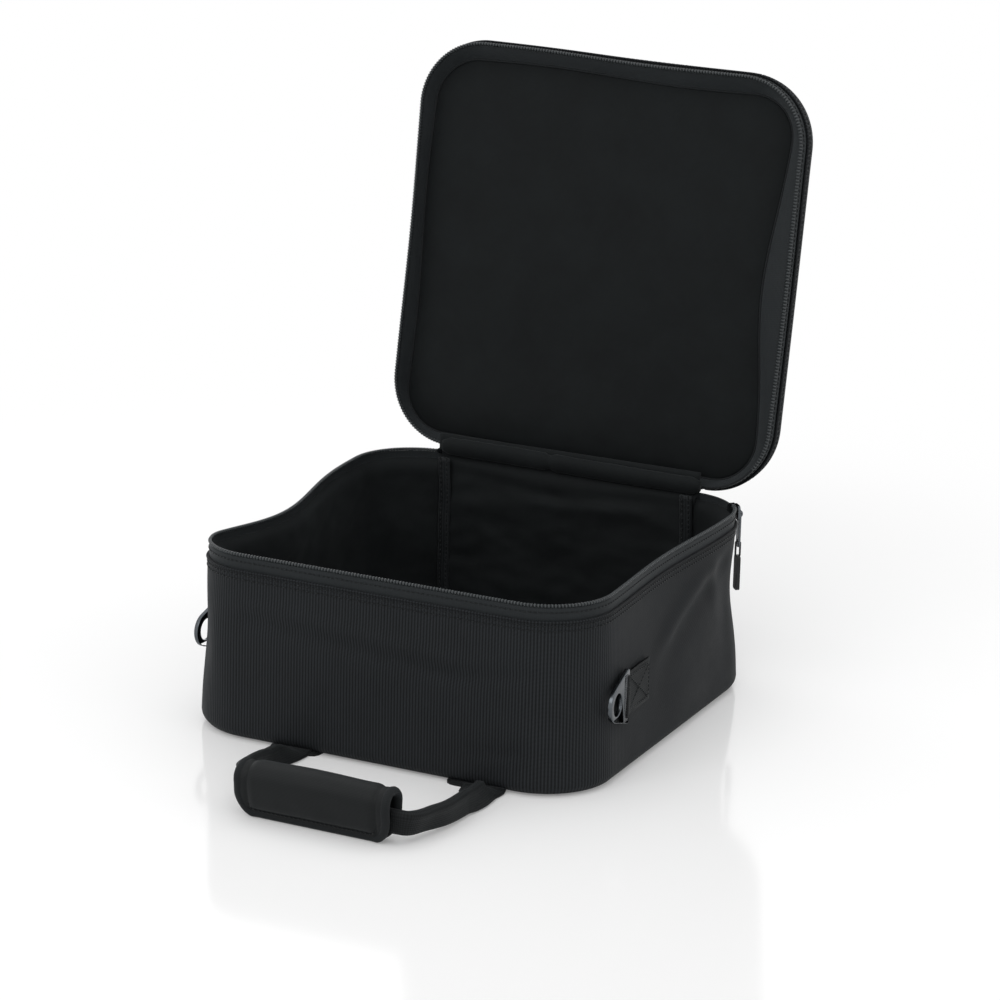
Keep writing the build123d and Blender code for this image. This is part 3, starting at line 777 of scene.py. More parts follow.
def opened(points):
    # the soft lid hangs a touch askew in its own plane
    points = np.asarray(points, float)
    askew = math.radians(lidSizes["askew"])
    x, y = points[..., 0], points[..., 1] - hingePos[1]
    points = np.stack([
        x * math.cos(askew) - y * math.sin(askew), hingePos[1] + x * math.sin(askew) + y * math.cos(askew), points[..., 2]], -1)
    return points @ turnOpen[:3, :3].T + turnOpen[:3, 3]


def openedWay(ways):
    return np.asarray(ways, float) @ turnOpen[:3, :3].T


def lidPush(length, z):
    low = np.clip((lidSizes["topZ"] - z) / case["lidHeight"], 0, 1)      # 1 at the zip, 0 at the outer panel
    out = -1.8 * bump(length, leftMid + 10, 80) * low
    out = out + 1.6 * bump(length, rightMid + 10, 80) * low
    out = out + 1.0 * bump(length, frontMid - 60, 60) * low - 1.4 * bump(length, frontMid + 30, 60) * low
    return out


def lidPoint(length, z, inset=0.0):
    length, z = np.broadcast_arrays(np.asarray(length, float), np.asarray(z, float))
    flat, normal = outlineAt(length)
    point = np.concatenate([flat + (lidPush(length, z) - inset)[..., None] * normal, z[..., None]], -1)
    return point, np.concatenate([normal, np.zeros(normal.shape[:-1] + (1,))], -1)


def lidGrid(l0, l1, profile, step=3.0):
    count = int((l1 - l0) / step) + 1
    lengths = np.linspace(l0, l1, count)
    profile = np.array(profile, float)
    ll = np.repeat(lengths[:, None], len(profile), 1)
    zz = np.repeat(profile[None, :, 1], count, 0)
    point, normal = lidPoint(ll, zz)
    point = point - profile[None, :, 0, None] * normal
    run = np.concatenate([[0], np.cumsum(np.linalg.norm(np.diff(profile, axis=0), axis=1))])
    return point, normal, np.stack([ll, np.repeat(run[None], count, 0)], -1)


def seamLine(count):
    # the line where the lid's padded lining is sewn down, drawn in from the rim by a different amount on each side
    s = lidSizes
    flat, normal = outlineAt(np.linspace(0, loopRun, count, endpoint=False))
    core, radius = flat - normal * cornerR, s["seamR"]
    flat = core * ((halfW - radius) / (halfW - cornerR), (halfD - radius) / (halfD - cornerR)) + normal * radius
    left, right, front, back = s["seamLeft"], s["seamRight"], s["seamFront"], s["seamBack"]
    x = np.interp(flat[:, 0], [-halfW, halfW], [-halfW + left, halfW - right])
    y = np.interp(flat[:, 1], [-halfD, halfD], [-halfD + front, halfD - back])
    bow = 11.0 * bump(flat[:, 1], 10, 75) * smooth((flat[:, 0] - 100) / 50)
    x = x - bow
    y = y + 1.6 * np.sin(flat[:, 0] / 40) * smooth((-flat[:, 1] - 100) / 50)
    x = x + 1.2 * np.sin(flat[:, 1] / 33) * smooth((np.abs(flat[:, 0]) - 100) / 50)
    return np.stack([x, y], -1)


def buildLidOutside():
    s = lidSizes
    crownZ = s["topZ"]
    upper = [(-0.1, crownZ - 6), (0.3, crownZ - 3.6), (1.3, crownZ - 1.6), (2.9, crownZ - 0.5)]
    prof = [(0.0, s["bandZ"]), (-0.1, crownZ - 12), (-0.2, crownZ - 9)] + upper
    grid, normal, uv = lidGrid(0, wallRun, prof)
    band = clothFromGrid("band", opened(grid), openedWay(normal), 1.1, uv, ribbedPolyester)
    path = opened(lidPoint(np.linspace(0, wallRun, 360), s["bandZ"] + 0.4, -0.2)[0])
    roll = tube("roll", path, 0.85, ribbedPolyester, sides=8)
    keep(joined("lidBand", band, roll), "lid", "shell_cloth", "lid_band")
    low = hingePos[2] + 3.6
    prof = [(0.4, low), (0.0, low + 3), (-0.1, crownZ - 14)] + upper
    grid, normal, uv = lidGrid(wallRun, loopRun, prof)
    keep(clothFromGrid("lidBackWall", opened(grid), openedWay(normal), 1.1, uv, plainPolyester), "lid", "shell_cloth", "lid_back_wall")
    panel = solidPlate("panel", crownZ - 0.2, 3.1, 1.2, plainPolyester, puff=s["crown"] * 0.45, rings=22, wrinkle=0.4, seed=9)
    co = np.array([v.co for v in panel.data.vertices]) / mm
    panel.data.vertices.foreach_set("co", (opened(co) * mm).ravel())
    keep(joined("lidOuterPanel", panel), "lid", "shell_cloth", "lid_outer_panel", "lid_foam_board")
    path = opened(lidPoint(np.linspace(0, loopRun, 420, endpoint=False), crownZ - 0.3, 3.0)[0])
    keep(tube("lidPanelPiping", path, 1.1, bindingWeave, closed=True, sides=8), "lid", "shell_cloth")
    rows = []
    for drop, inset in ((s["bandZ"] + 3.0, -0.25), (s["bandZ"] + 6.0, -0.3)):
        path = opened(lidPoint(np.linspace(2, wallRun - 2, 420), drop, inset)[0])
        rows.append(alongPath("row", path, stitchTree, stitchSizes))
    keep(joined("lidStitches", *rows), "lid", "shell_cloth")


def buildLidZip():
    z = lidSizes["coilZ"]
    prof = [(1.5, z + 2.6), (1.2, z + 4), (1.0, z + 7), (1.1, z + 10), (1.3, z + 13), (1.3, z + 17)]
    grid, normal, uv = lidGrid(0, wallRun, prof)
    keep(clothFromGrid("lidZipTape", opened(grid), openedWay(normal), 0.9, uv, zipTapeWeave), "lid", "zip_tape", "lid_zip_tape")
    path = opened(lidPoint(np.linspace(1, sliderLength() - 6, 700), z + 1.6, 1.7)[0])
    coil = alongPath("coil", path, coilTree, coilSizes)
    core = tube("core", path, 0.9, zipTapeWeave, sides=6)
    keep(joined("lidZipCoil", coil, core), "lid", "zip_coil", "lid_zip_coil")
    path = opened(lidPoint(np.linspace(2, wallRun - 2, 420), z + 6.2, 0.75)[0])
    keep(alongPath("lidTapeStitches", path, stitchTree, stitchSizes), "lid", "zip_tape")


def buildLidInside():
    # a sloping facing from the zip to the seam, and the puffed lining inside the seam
    s = lidSizes
    count = 420
    lengths = np.linspace(0, loopRun, count, endpoint=False)
    rim, normal = lidPoint(lengths, s["coilZ"] + 3.0)
    seam = np.concatenate([seamLine(count), np.full((count, 1), s["seamZ"])], 1)
    steps = 9
    rows = []
    for k in range(steps):
        t = k / (steps - 1)
        start = rim - normal * 2.4
        point = start * (1 - t) + seam * t
        sag = math.sin(t * math.pi)
        depth = 0.9 * sag * (1 + 0.6 * np.sin(lengths / 9.0) * 0.25)
        wave = 0.8 * sag * noise3(np.stack([lengths, lengths * 0 + t * 20, lengths * 0], -1), 26, 11)
        point = point + np.stack([lengths * 0, lengths * 0, -depth * 1.6 + wave], -1)
        rows.append(point)
    grid = np.stack(rows, 1)
    inward = np.zeros_like(grid)
    inward[..., 2] = -1.0
    run = np.concatenate([[0], np.cumsum(np.linalg.norm(np.diff(grid[0], axis=0), axis=1))])
    uv = np.stack([np.repeat(lengths[:, None], steps, 1), np.repeat(run[None], count, 0)], -1)
    facing = clothFromGrid("facing", opened(grid), openedWay(inward), 0.8, uv, zipTapeWeave, closeRows=True)
    keep(joined("lidFacing", facing), "lid", "lining_cloth")
    bead = tube("bead", opened(seam + (0, 0, -0.2)), 0.9, bindingWeave, closed=True, sides=8, up=openedWay([(0, 0, 1)])[0])
    keep(joined("lidLiningBinding", bead), "lid", "binding_tape", "lid_lining_binding")

    rings, verts, uvs = 34, [], []
    middle = np.array([(s["seamLeft"] - s["seamRight"]) / 2, (s["seamFront"] - s["seamBack"]) / 2])
    line = seamLine(count)
    line = middle + (line - middle) * 0.997
    for k in range(rings - 1):
        scale = 1 - (k / (rings - 1)) ** 1.25
        flat = middle + (line - middle) * scale
        edge = 1 - scale
        rise = s["puff"] * (1 - np.exp(-edge * 13)) * (1 - 0.25 * edge)
        soft = noise3(np.concatenate([flat, flat[:, :1] * 0], 1), 62, 21) * 1.1 + noise3(np.concatenate([flat, flat[:, :1] * 0], 1), 24, 22) * 0.35
        lower = 1.6 * bump(flat[:, 1], halfD - 40, 26) * bump(flat[:, 0], -10, 90)
        rise = rise + (soft + lower) * min(1.0, edge * 9)
        verts.append(np.concatenate([flat, (s["seamZ"] + 0.4 - rise)[:, None]], 1))
        uvs.append(flat)
    verts.append(np.array([[*middle, s["seamZ"] - s["puff"] * 0.75]]))
    uvs.append(middle[None])
    n = (rings - 1) * count
    faces = gridFaces(rings - 1, count, closeCols=True)
    faces += [((rings - 2) * count + j, (rings - 2) * count + (j + 1) % count, n) for j in range(count)]
    under = np.concatenate(verts)
    over = under.copy()
    over[:, 2] = s["seamZ"] + 3.4
    total = len(under)
    allFaces = faces + [tuple(total + k for k in reversed(f)) for f in faces]
    allFaces += [(j, total + j, total + (j + 1) % count, (j + 1) % count) for j in range(count)]
    pad = makeMesh("pad", opened(np.concatenate([under, over])), allFaces, np.concatenate([np.concatenate(uvs)] * 2), material=nylonLining)
    fixNormals(pad)
    pad = joined("lidLining", pad)
    keep(pad, "lid", "lining_cloth", "lid_lining")


def buildHinge():
    # cloth roll over the hinge
    count = 90
    xs = np.linspace(-backHalf + 1, backHalf + 3, count)
    thick = 5.8 + 0.5 * noise3(np.stack([xs, xs * 0, xs * 0], -1), 30, 31) - 1.6 * bump(xs, -14, 3.0)
    thick = thick * np.minimum(1, 0.55 + np.minimum(xs + backHalf, backHalf + 4 - xs) / 16)
    path = np.stack([xs, np.full(count, hingePos[1] - 4.2), hingePos[2] + 3.6 - 0.8 * np.sin(xs / 50)], -1)
    sides = 14
    turns = np.arange(sides) * 2 * math.pi / sides
    rings = path[:, None] + thick[:, None, None] * np.stack([turns * 0, np.cos(turns) * 0.72, np.sin(turns) * 1.15], -1)[None]
    rings = rings + 0.25 * noise3(rings, 6, 33)[..., None] * (0, 1, 1)
    verts = rings.reshape(-1, 3)
    faces = gridFaces(count, sides, closeCols=True)
    faces += [tuple(range(sides)), tuple((count - 1) * sides + k for k in reversed(range(sides)))]
    uv = np.stack([np.repeat(xs, sides), np.tile(turns * 5, count)], -1)
    roll = makeMesh("roll", verts, faces, uv, material=nylonLining)
    fixNormals(roll)
    # outer strip of shell cloth, from the tub's back to the lid's back wall
    steps = 12
    arc = np.linspace(-0.5, 1.0, steps) * math.pi / 2
    ys = hingePos[1] - 0.6 + 3.6 * np.cos(arc)
    zs = hingePos[2] + 3.6 * np.sin(arc)
    xs = np.linspace(-backHalf, backHalf, 60)
    grid = np.zeros((60, steps, 3))
    grid[..., 0] = xs[:, None]
    grid[..., 1] = ys[None]
    grid[..., 2] = zs[None]
    normal = np.zeros_like(grid)
    normal[..., 1] = np.cos(arc)[None]
    normal[..., 2] = np.sin(arc)[None]
    uv = np.stack([grid[..., 0], np.repeat((arc * 4)[None], 60, 0)], -1)
    strip = clothFromGrid("strip", grid, normal, 1.0, uv, plainPolyester)
    # the lining behind the roll, so that no light shows through
    grid = np.zeros((60, 8, 3))
    grid[..., 0] = np.linspace(-backHalf - 2, backHalf + 2, 60)[:, None]
    grid[..., 1] = hingePos[1] - 2.6 - 1.2 * np.sin(np.linspace(0, math.pi, 8))[None]
    grid[..., 2] = hingePos[2] + np.linspace(-9, 13, 8)[None]
    normal = np.zeros_like(grid)
    normal[..., 1] = -1
    uv = np.stack([grid[..., 0], grid[..., 2]], -1)
    curtain = clothFromGrid("curtain", grid, normal, 1.0, uv, nylonLining)
    piece = joined("hingeRoll", roll, strip, curtain)
    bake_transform(piece)
    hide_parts("hinge_roll")


buildLidOutside()
buildLidZip()
buildLidInside()
buildHinge()
print("lid built")


# webbing and the base handle

def spline3(points, count):
    # smooth line through a few points
    points = np.asarray(points, float)
    closedEnds = np.concatenate([[2 * points[0] - points[1]], points, [2 * points[-1] - points[-2]]])
    out = []
    per = max(2, count // (len(points) - 1))
    for k in range(1, len(closedEnds) - 2):
        p0, p1, p2, p3 = closedEnds[k - 1:k + 3]
        t = np.linspace(0, 1, per, endpoint=False)[:, None]
        out.append(0.5 * (2 * p1 + (p2 - p0) * t + (2 * p0 - 5 * p1 + 4 * p2 - p3) * t ** 2 + (3 * p1 - p0 - 3 * p2 + p3) * t ** 3))
    return np.concatenate(out + [points[-1:]])


def evenly(path, step):
    run = np.concatenate([[0], np.cumsum(np.linalg.norm(np.diff(path, axis=0), axis=1))])
    at = np.linspace(0, run[-1], max(3, int(run[-1] / step)))
    return np.stack([np.interp(at, run, path[:, k]) for k in range(3)], 1), at


def foldedWebbing(name, path, across, fold, halfWidth, thickness, material, step=2.0):
    # webbing along a path; across is the way its width points, fold is 0 lying flat and 1 folded double on its edge
    path, run = evenly(path, step)
    t = run / run[-1]
    tangent = np.gradient(path, axis=0)
    tangent /= np.linalg.norm(tangent, axis=1, keepdims=True)
    keys = np.linspace(0, 1, len(across))
    way = np.stack([np.interp(t, keys, np.asarray(across, float)[:, k]) for k in range(3)], 1)
    way = way - (way * tangent).sum(1, keepdims=True) * tangent
    way /= np.linalg.norm(way, axis=1, keepdims=True)
    face = np.cross(way, tangent)
    foldAt = np.interp(t, np.linspace(0, 1, len(fold)), fold)
    wide = np.linspace(-1, 1, 17)
    grid = np.zeros((len(path), len(wide), 3))
    normal = np.zeros_like(grid)
    for j, w in enumerate(wide):
        # the two halves turn up about the middle line until they lie face to face
        angle = foldAt * math.radians(84) * smooth(abs(w) * 3.2)
        side = np.sign(w)
        reach = abs(w) * halfWidth
        bend = 1.4 * foldAt
        flatPart = reach * np.cos(angle) + bend * (1 if w else 0)
        upPart = reach * np.sin(angle) - halfWidth * 0.5 * foldAt
        grid[:, j] = path + way * (side * flatPart)[:, None] + face * upPart[:, None]
        normal[:, j] = face * np.cos(angle)[:, None] - way * (side * np.sin(angle))[:, None]
    # the webbing lies on the ground where it would sink into it
    grid[..., 2] += np.maximum(0, thickness / 2 + 0.3 - grid[..., 2].min(1))[:, None]
    uv = np.stack([np.repeat((wide * halfWidth)[None], len(path), 0), np.repeat(run[:, None], len(wide), 1)], -1)
    return clothFromGrid(name, grid + normal * thickness / 2, normal, thickness, uv, material)


handle = {"webHalf": 19.0, "webThick": 1.7, "gripLength": 108.0, "gripThick": 22.0, "gripHeight": 38.0, "flapRound": 15.0}


def buildBaseHandle():
    low, high = boxMm("grip_cover")
    midY = (low[1] + high[1]) / 2
    gripLow, gripHigh = low[0] - 1, high[0] + 1
    left, right = [boxMm("base_webbing_" + s) for s in ("left", "right")]
    lx, rx = (left[0][0] + left[1][0]) / 2, (right[0][0] + right[1][0]) / 2
    edgeY = left[0][1] + 4
    axisY = jointNamed("front_handle_hinge")["pos_m"][1] / mm
    core = 16.5                                           # height of the webbing inside the grip
    # the webbing leaves the base flat, folds double on its edge and runs through the grip
    path = spline3([
        (lx - 2, axisY + 1.5, 2.6), (lx - 1, axisY - 11, 3.4), (lx + 2, edgeY - 40, 7.6), (lx + 9, edgeY - 74, 15), (lx + 18, midY + 15, 20),
        (gripLow + 7, midY + 3, core), (gripLow + 40, midY, core), (gripHigh - 30, midY, core), (gripHigh + 4, midY + 1, core - 1),
        (gripHigh + 12, midY + 6, 14.5), (rx + 16, midY + 22, 13), (rx + 20, midY + 44, 11), (rx + 19, edgeY - 34, 8), (rx + 13, axisY - 11, 3.4),
        (rx + 11, axisY + 1.5, 2.6)], 220)
    across = [(1, 0, 0), (1, 0, 0), (1, 0.1, 0.1), (1, 0.3, 0.2), (0.5, 0.8, 0.2), (0, 1, 0.1), (0, 1, 0), (0, 1, 0), (0, 1, 0),
              (-0.2, 1, 0.1), (-0.5, 0.8, 0.2), (-0.9, 0.4, 0.15), (-1, 0.2, 0), (-1, 0, 0), (-1, 0, 0)]
    strap = foldedWebbing("strap", path, across, [0.0, 0.6, 1, 1, 1, 1, 1, 1, 1, 1, 1, 1, 1, 0.7, 0.0], 15.0, 1.5, webbingWeave)
    keep(joined("baseHandleWebbing", strap), "front_handle", "webbing", "base_handle_webbing")
    buildGrip(gripLow, gripHigh, midY, low[2])


def gripSection(half, crown, bottom, flare, steps):
    # upright fold: up the front flap, over the crown, down the back flap; returns (y, z) from front to back
    turns = np.linspace(math.pi, 0, steps)
    arch = np.stack([half * np.cos(turns), crown - half + half * np.sin(turns) * 0.96], 1)
    zs = np.linspace(bottom, crown - half, 14)[:-1]
    t = (zs - bottom) / (crown - half - bottom)
    belly = half - flare * (1 - t) ** 2
    front = np.stack([-belly, zs], 1)
    back = np.stack([belly, zs], 1)[::-1]
    return np.concatenate([front, arch, back])


def buildGrip(x0, x1, midY, floorZ):
    h = handle
    half, crown = h["gripThick"] / 2, h["gripHeight"] + floorZ
    bottom = floorZ + 0.4
    section = gripSection(half, crown, bottom, 6.5, 17)
    count = 84
    xs = np.linspace(x0, x1, count)
    rows = len(section)
    run = np.concatenate([[0], np.cumsum(np.linalg.norm(np.diff(section, axis=0), axis=1))])
    total = run[-1]
    grid = np.zeros((count, rows, 3))
    uv = np.zeros((count, rows, 2))
    fromEdge = np.minimum(run, total - run)
    for i, x in enumerate(xs):
        ends = min(x - x0, x1 - x)
        # the flaps' corners are rounded, so near the ends the section stops higher up
        cut = h["flapRound"] - math.sqrt(max(0.0, h["flapRound"] ** 2 - max(0.0, h["flapRound"] - ends) ** 2))
        at = np.linspace(cut, total - cut, rows)
        y = np.interp(at, run, section[:, 0])
        z = np.interp(at, run, section[:, 1])
        swell = 0.8 * math.sin(math.pi * (x - x0) / (x1 - x0)) + 0.5 * math.sin(x / 13.0)
        side = np.clip((z - bottom) / (crown - bottom), 0, 1)
        grid[i] = np.stack([np.full(rows, x), midY + y * (1 + 0.04 * swell * side), z + 0.5 * swell * side], 1)
        uv[i] = np.stack([np.full(rows, x), at], 1)
    ways = np.cross(np.gradient(grid, axis=1), np.gradient(grid, axis=0))
    ways /= np.linalg.norm(ways, axis=2, keepdims=True)
    centre = np.array([(x0 + x1) / 2, midY, (bottom + crown) / 2])
    if (ways[count // 2, rows // 2] * (grid[count // 2, rows // 2] - centre)).sum() < 0:
        ways = -ways
    dents = 0.35 * noise3(grid, 16, 41)
    # the padding swells inside the sewn border
    inner = np.minimum.reduce([
        np.repeat((xs - x0)[:, None], rows, 1), np.repeat((x1 - xs)[:, None], rows, 1), uv[..., 1], total - uv[..., 1]])
    lift = 1.2 * smooth((inner - 6.5) / 5) - 0.9 * bump(inner, 6.3, 0.9)
    skin = grid + ways * (lift + dents * smooth(inner / 8))[..., None]
    cover = clothFromGrid("cover", skin, ways, 4.6, uv, plainPolyester)
    grip = joined("gripCover", cover)
    keep(grip, "front_handle", "shell_cloth", "grip_cover", "grip_padding", "grip_hook_patch", "grip_loop_patch")
    # binding over the raw edge all the way round
    mid = grid - ways * 2.0
    edge = np.concatenate([mid[:, 0], mid[-1, 1:], mid[::-1, -1][1:], mid[0, ::-1][1:-1]])
    out = np.concatenate([ways[:, 0], ways[-1, 1:], ways[::-1, -1][1:], ways[0, ::-1][1:-1]])
    smoothEdge, smoothOut = edge.copy(), out.copy()
    for _ in range(3):
        smoothEdge = (np.roll(smoothEdge, 1, 0) + smoothEdge * 2 + np.roll(smoothEdge, -1, 0)) / 4
    smoothEdge[:, 2] = np.maximum(smoothEdge[:, 2], 3.4)        # it rests on the ground
    bind = tube("bind", smoothEdge, 3.1, bindingWeave, sides=12, closed=True, up=smoothOut)
    rowsOut = [skin[4:-4, 3] + ways[4:-4, 3] * 0.2]
    stitchRows = []
    for insetMm in (5.6,):
        loop = []
        for i in range(5, count - 5):
            loop.append(surfaceAt(skin, uv, i, insetMm + cornerCut(xs[i], x0, x1)))
        stitchRows.append(alongPath("row", np.array(loop), stitchTree, {**stitchSizes, "Pitch": 3.2 * mm, "Length": 2.7 * mm}))
    keep(joined("gripBinding", bind, *stitchRows), "front_handle", "binding_tape", "grip_binding")


def cornerCut(x, x0, x1):
    ends = min(x - x0, x1 - x)
    return 0.6 * max(0.0, 10 - ends)


def surfaceAt(skin, uv, i, fromBottom):
    v = uv[i, :, 1] - uv[i, 0, 1]
    return np.array([np.interp(fromBottom, v, skin[i, :, k]) for k in range(3)]) + (0, -0.3, 0)


# strap rings

ringSizes = {"reach": 32.0, "noseR": 12.5, "eyeR": 8.0, "tabWide": 30.0, "rail": 4.5, "thick": 3.2, "barR": 1.6, "leaf": 42.0, "tilt": 4.0}


def ringShape(side):
    # outline of the plate, its eye and its slot as filled curves, rounded at the edges
    r = ringSizes
    barHalf = r["tabWide"] / 2 + r["rail"]
    nose = np.array([-r["reach"] + r["noseR"], 0.0])
    post = np.array([0.0, barHalf - 2.4])
    gap = nose - post
    away = math.acos((r["noseR"] - 2.4) / np.linalg.norm(gap))
    base = math.atan2(-gap[1], -gap[0])
    outer = []
    a0 = base + away
    for a in np.linspace(a0, 2 * math.pi - a0, 40):
        outer.append(nose + r["noseR"] * np.array([math.cos(a), math.sin(a)]))
    for a in np.linspace(-a0, 0, 8):
        outer.append(np.array([0, -barHalf + 2.4]) + 2.4 * np.array([math.cos(a), math.sin(a)]))
    for a in np.linspace(0, a0, 8):
        outer.append(np.array([0, barHalf - 2.4]) + 2.4 * np.array([math.cos(a), math.sin(a)]))
    eye = [nose + r["eyeR"] * np.array([math.cos(a), math.sin(a)]) for a in np.linspace(0, 2 * math.pi, 36, endpoint=False)]
    slotHalf = r["tabWide"] / 2 + 1.3
    slot = [np.array(p) for p in ((-7.3, -slotHalf), (-1.6, -slotHalf), (-1.6, slotHalf), (-7.3, slotHalf))]
    curve = bpy.data.curves.new("ringPlate", "CURVE")
    curve.dimensions = "2D"
    curve.fill_mode = "BOTH"
    for loop in (outer, eye, slot):
        spline = curve.splines.new("POLY")
        spline.points.add(len(loop) - 1)
        for point, at in zip(spline.points, loop):
            point.co = (at[0] * mm, at[1] * mm, 0, 1)
        spline.use_cyclic_u = True
    bevel = 0.55
    curve.extrude = (r["thick"] / 2 - bevel) * mm
    curve.bevel_depth = bevel * mm
    curve.bevel_resolution = 2
    curve.offset = -bevel * mm
    holder = bpy.data.objects.new("ringPlate", curve)
    bpy.context.scene.collection.objects.link(holder)
    bpy.context.view_layer.update()
    mesh = bpy.data.meshes.new_from_object(holder.evaluated_get(bpy.context.evaluated_depsgraph_get()))
    bpy.data.objects.remove(holder)
    joint = jointNamed("ring_right_swing" if side > 0 else "ring_left_swing")
    place = Matrix.Translation(Vector(joint["pos_m"])) @ Matrix.Rotation(side * math.radians(ringSizes["tilt"]), 4, "Z")
    place = place @ Matrix.Rotation(math.pi / 2, 4, "Z") @ Matrix.Rotation(math.pi / 2, 4, "X")
    mesh.transform(place)
    mesh.materials.clear()
    mesh.materials.append(blackNickel)
    bm = bmesh.new()
    bm.from_mesh(mesh)
    bmesh.ops.remove_doubles(bm, verts=bm.verts, dist=0.00001)
    bmesh.ops.recalc_face_normals(bm, faces=bm.faces)
    bm.to_mesh(mesh)
    bm.free()
    mesh.polygons.foreach_set("use_smooth", [False] * len(mesh.polygons))
    obj = bpy.data.objects.new("plate", mesh)
    bpy.context.scene.collection.objects.link(obj)
    return obj, np.array(joint["pos_m"]) / mm


def buildRing(side):
    word = "Right" if side > 0 else "Left"
    plateObj, bar = ringShape(side)
    r = ringSizes
    zs = np.linspace(-r["tabWide"] / 2 - 2.4, r["tabWide"] / 2 + 2.4, 16)
    barObj = tube("bar", np.stack([np.full(16, bar[0]), np.full(16, bar[1]), bar[2] + zs], -1), r["barR"], blackNickel, sides=16, up=(1, 0, 0))
    keep(joined("strapRing" + word, plateObj, barObj), "ring_" + word.lower(), "ring_metal", "strap_ring_" + word.lower())
    # webbing: along the side, round the bar and back
    turns = np.linspace(-math.pi / 2, math.pi / 2, 12)
    lower = [(r["leaf"] - k, 0.95) for k in np.linspace(0, r["leaf"] - 4, 20)]
    loopPts = [(2.0, 0.9)] + [(-2.75 * math.cos(t), 3.2 + 2.45 * math.sin(t)) for t in turns] + [(3.0, 3.9), (6.0, 2.8)]
    upper = [(k, 2.35) for k in np.linspace(9, r["leaf"], 18)]
    line = np.array(lower + loopPts + upper)
    way = np.gradient(line, axis=0)
    way /= np.linalg.norm(way, axis=1, keepdims=True)
    across = np.linspace(-1, 1, 13)
    lengthMid = (3 * arcRun + sideRun + frontRun) if side > 0 else (arcRun + sideRun)
    grid = np.zeros((len(line), 13, 3))
    normal = np.zeros_like(grid)
    for i, (along, off) in enumerate(line):
        for j, w in enumerate(across):
            z = bar[2] + w * r["tabWide"] / 2
            y = bar[1] + along
            length = lengthMid + (y + (halfD - cornerR)) * side
            push = float(tubPush(length, z) + tubCreases(length, z))
            grid[i, j] = (side * (halfW + max(push, -1.0) * min(1.0, abs(along) / 10) + off), y, z)
            nx, ny = -way[i, 1], way[i, 0]
            normal[i, j] = (side * ny, nx, 0)
    uv = np.zeros((len(line), 13, 2))
    run = np.concatenate([[0], np.cumsum(np.linalg.norm(np.diff(line, axis=0), axis=1))])
    uv[..., 0] = (across * r["tabWide"] / 2)[None]
    uv[..., 1] = run[:, None]
    web = clothFromGrid("web", grid, normal, 1.15, uv, webbingWeave)
    rows = []
    corners = [(6.5, -12), (38.5, -12), (38.5, 12), (6.5, 12), (6.5, -12)]
    crosses = [corners, [(6.5, -12), (38.5, 12)], [(6.5, 12), (38.5, -12)]]
    for points in crosses:
        pts = []
        for (a0, z0), (a1, z1) in zip(points[:-1], points[1:]):
            n = max(3, int(math.hypot(a1 - a0, z1 - z0) / 2.5))
            for t in np.linspace(0, 1, n, endpoint=False):
                pts.append((side * (halfW + 2.75), bar[1] + a0 + (a1 - a0) * t, bar[2] + z0 + (z1 - z0) * t))
        rows.append(alongPath("row", np.array(pts), stitchTree, {**stitchSizes, "Pitch": 3.0 * mm, "Length": 2.6 * mm}))
    keep(joined("ringTab" + word, web, *rows), "tub", "webbing", "ring_tab_" + word.lower())


# lid's webbing and handle

def buildLidWebbing():
    s = lidSizes
    for side in ("left", "right"):
        x = -68.0 if side == "left" else 68.0
        ys = np.linspace(-halfD + 3, halfD - 8, 90)
        across = np.linspace(-1, 1, 11)
        grid = np.zeros((90, 11, 3))
        grid[..., 0] = x + across[None] * 19
        grid[..., 1] = ys[:, None]
        fromEdge = np.minimum(ys + halfD, halfD - ys)
        grid[..., 2] = s["topZ"] + 0.6 + (s["crown"] * 0.45 + 0.2) * np.sqrt(np.clip(1 - (1 - fromEdge / halfD) ** 6, 0, 1))[:, None] - 0.3 * across[None] ** 6
        normal = np.zeros_like(grid)
        normal[..., 2] = 1
        uv = np.stack([grid[..., 0], grid[..., 1]], -1)
        strap = clothFromGrid("strap", opened(grid), openedWay(normal), 1.5, uv, webbingWeave)
        rows = []
        for shift in (-16, 16):
            pts = grid[:, 5] + (shift, 0, 0.1)
            rows.append(alongPath("row", opened(pts), stitchTree, stitchSizes))
        keep(joined("lidWebbing" + side.capitalize(), strap, *rows), "lid", "webbing", "lid_webbing_" + side)


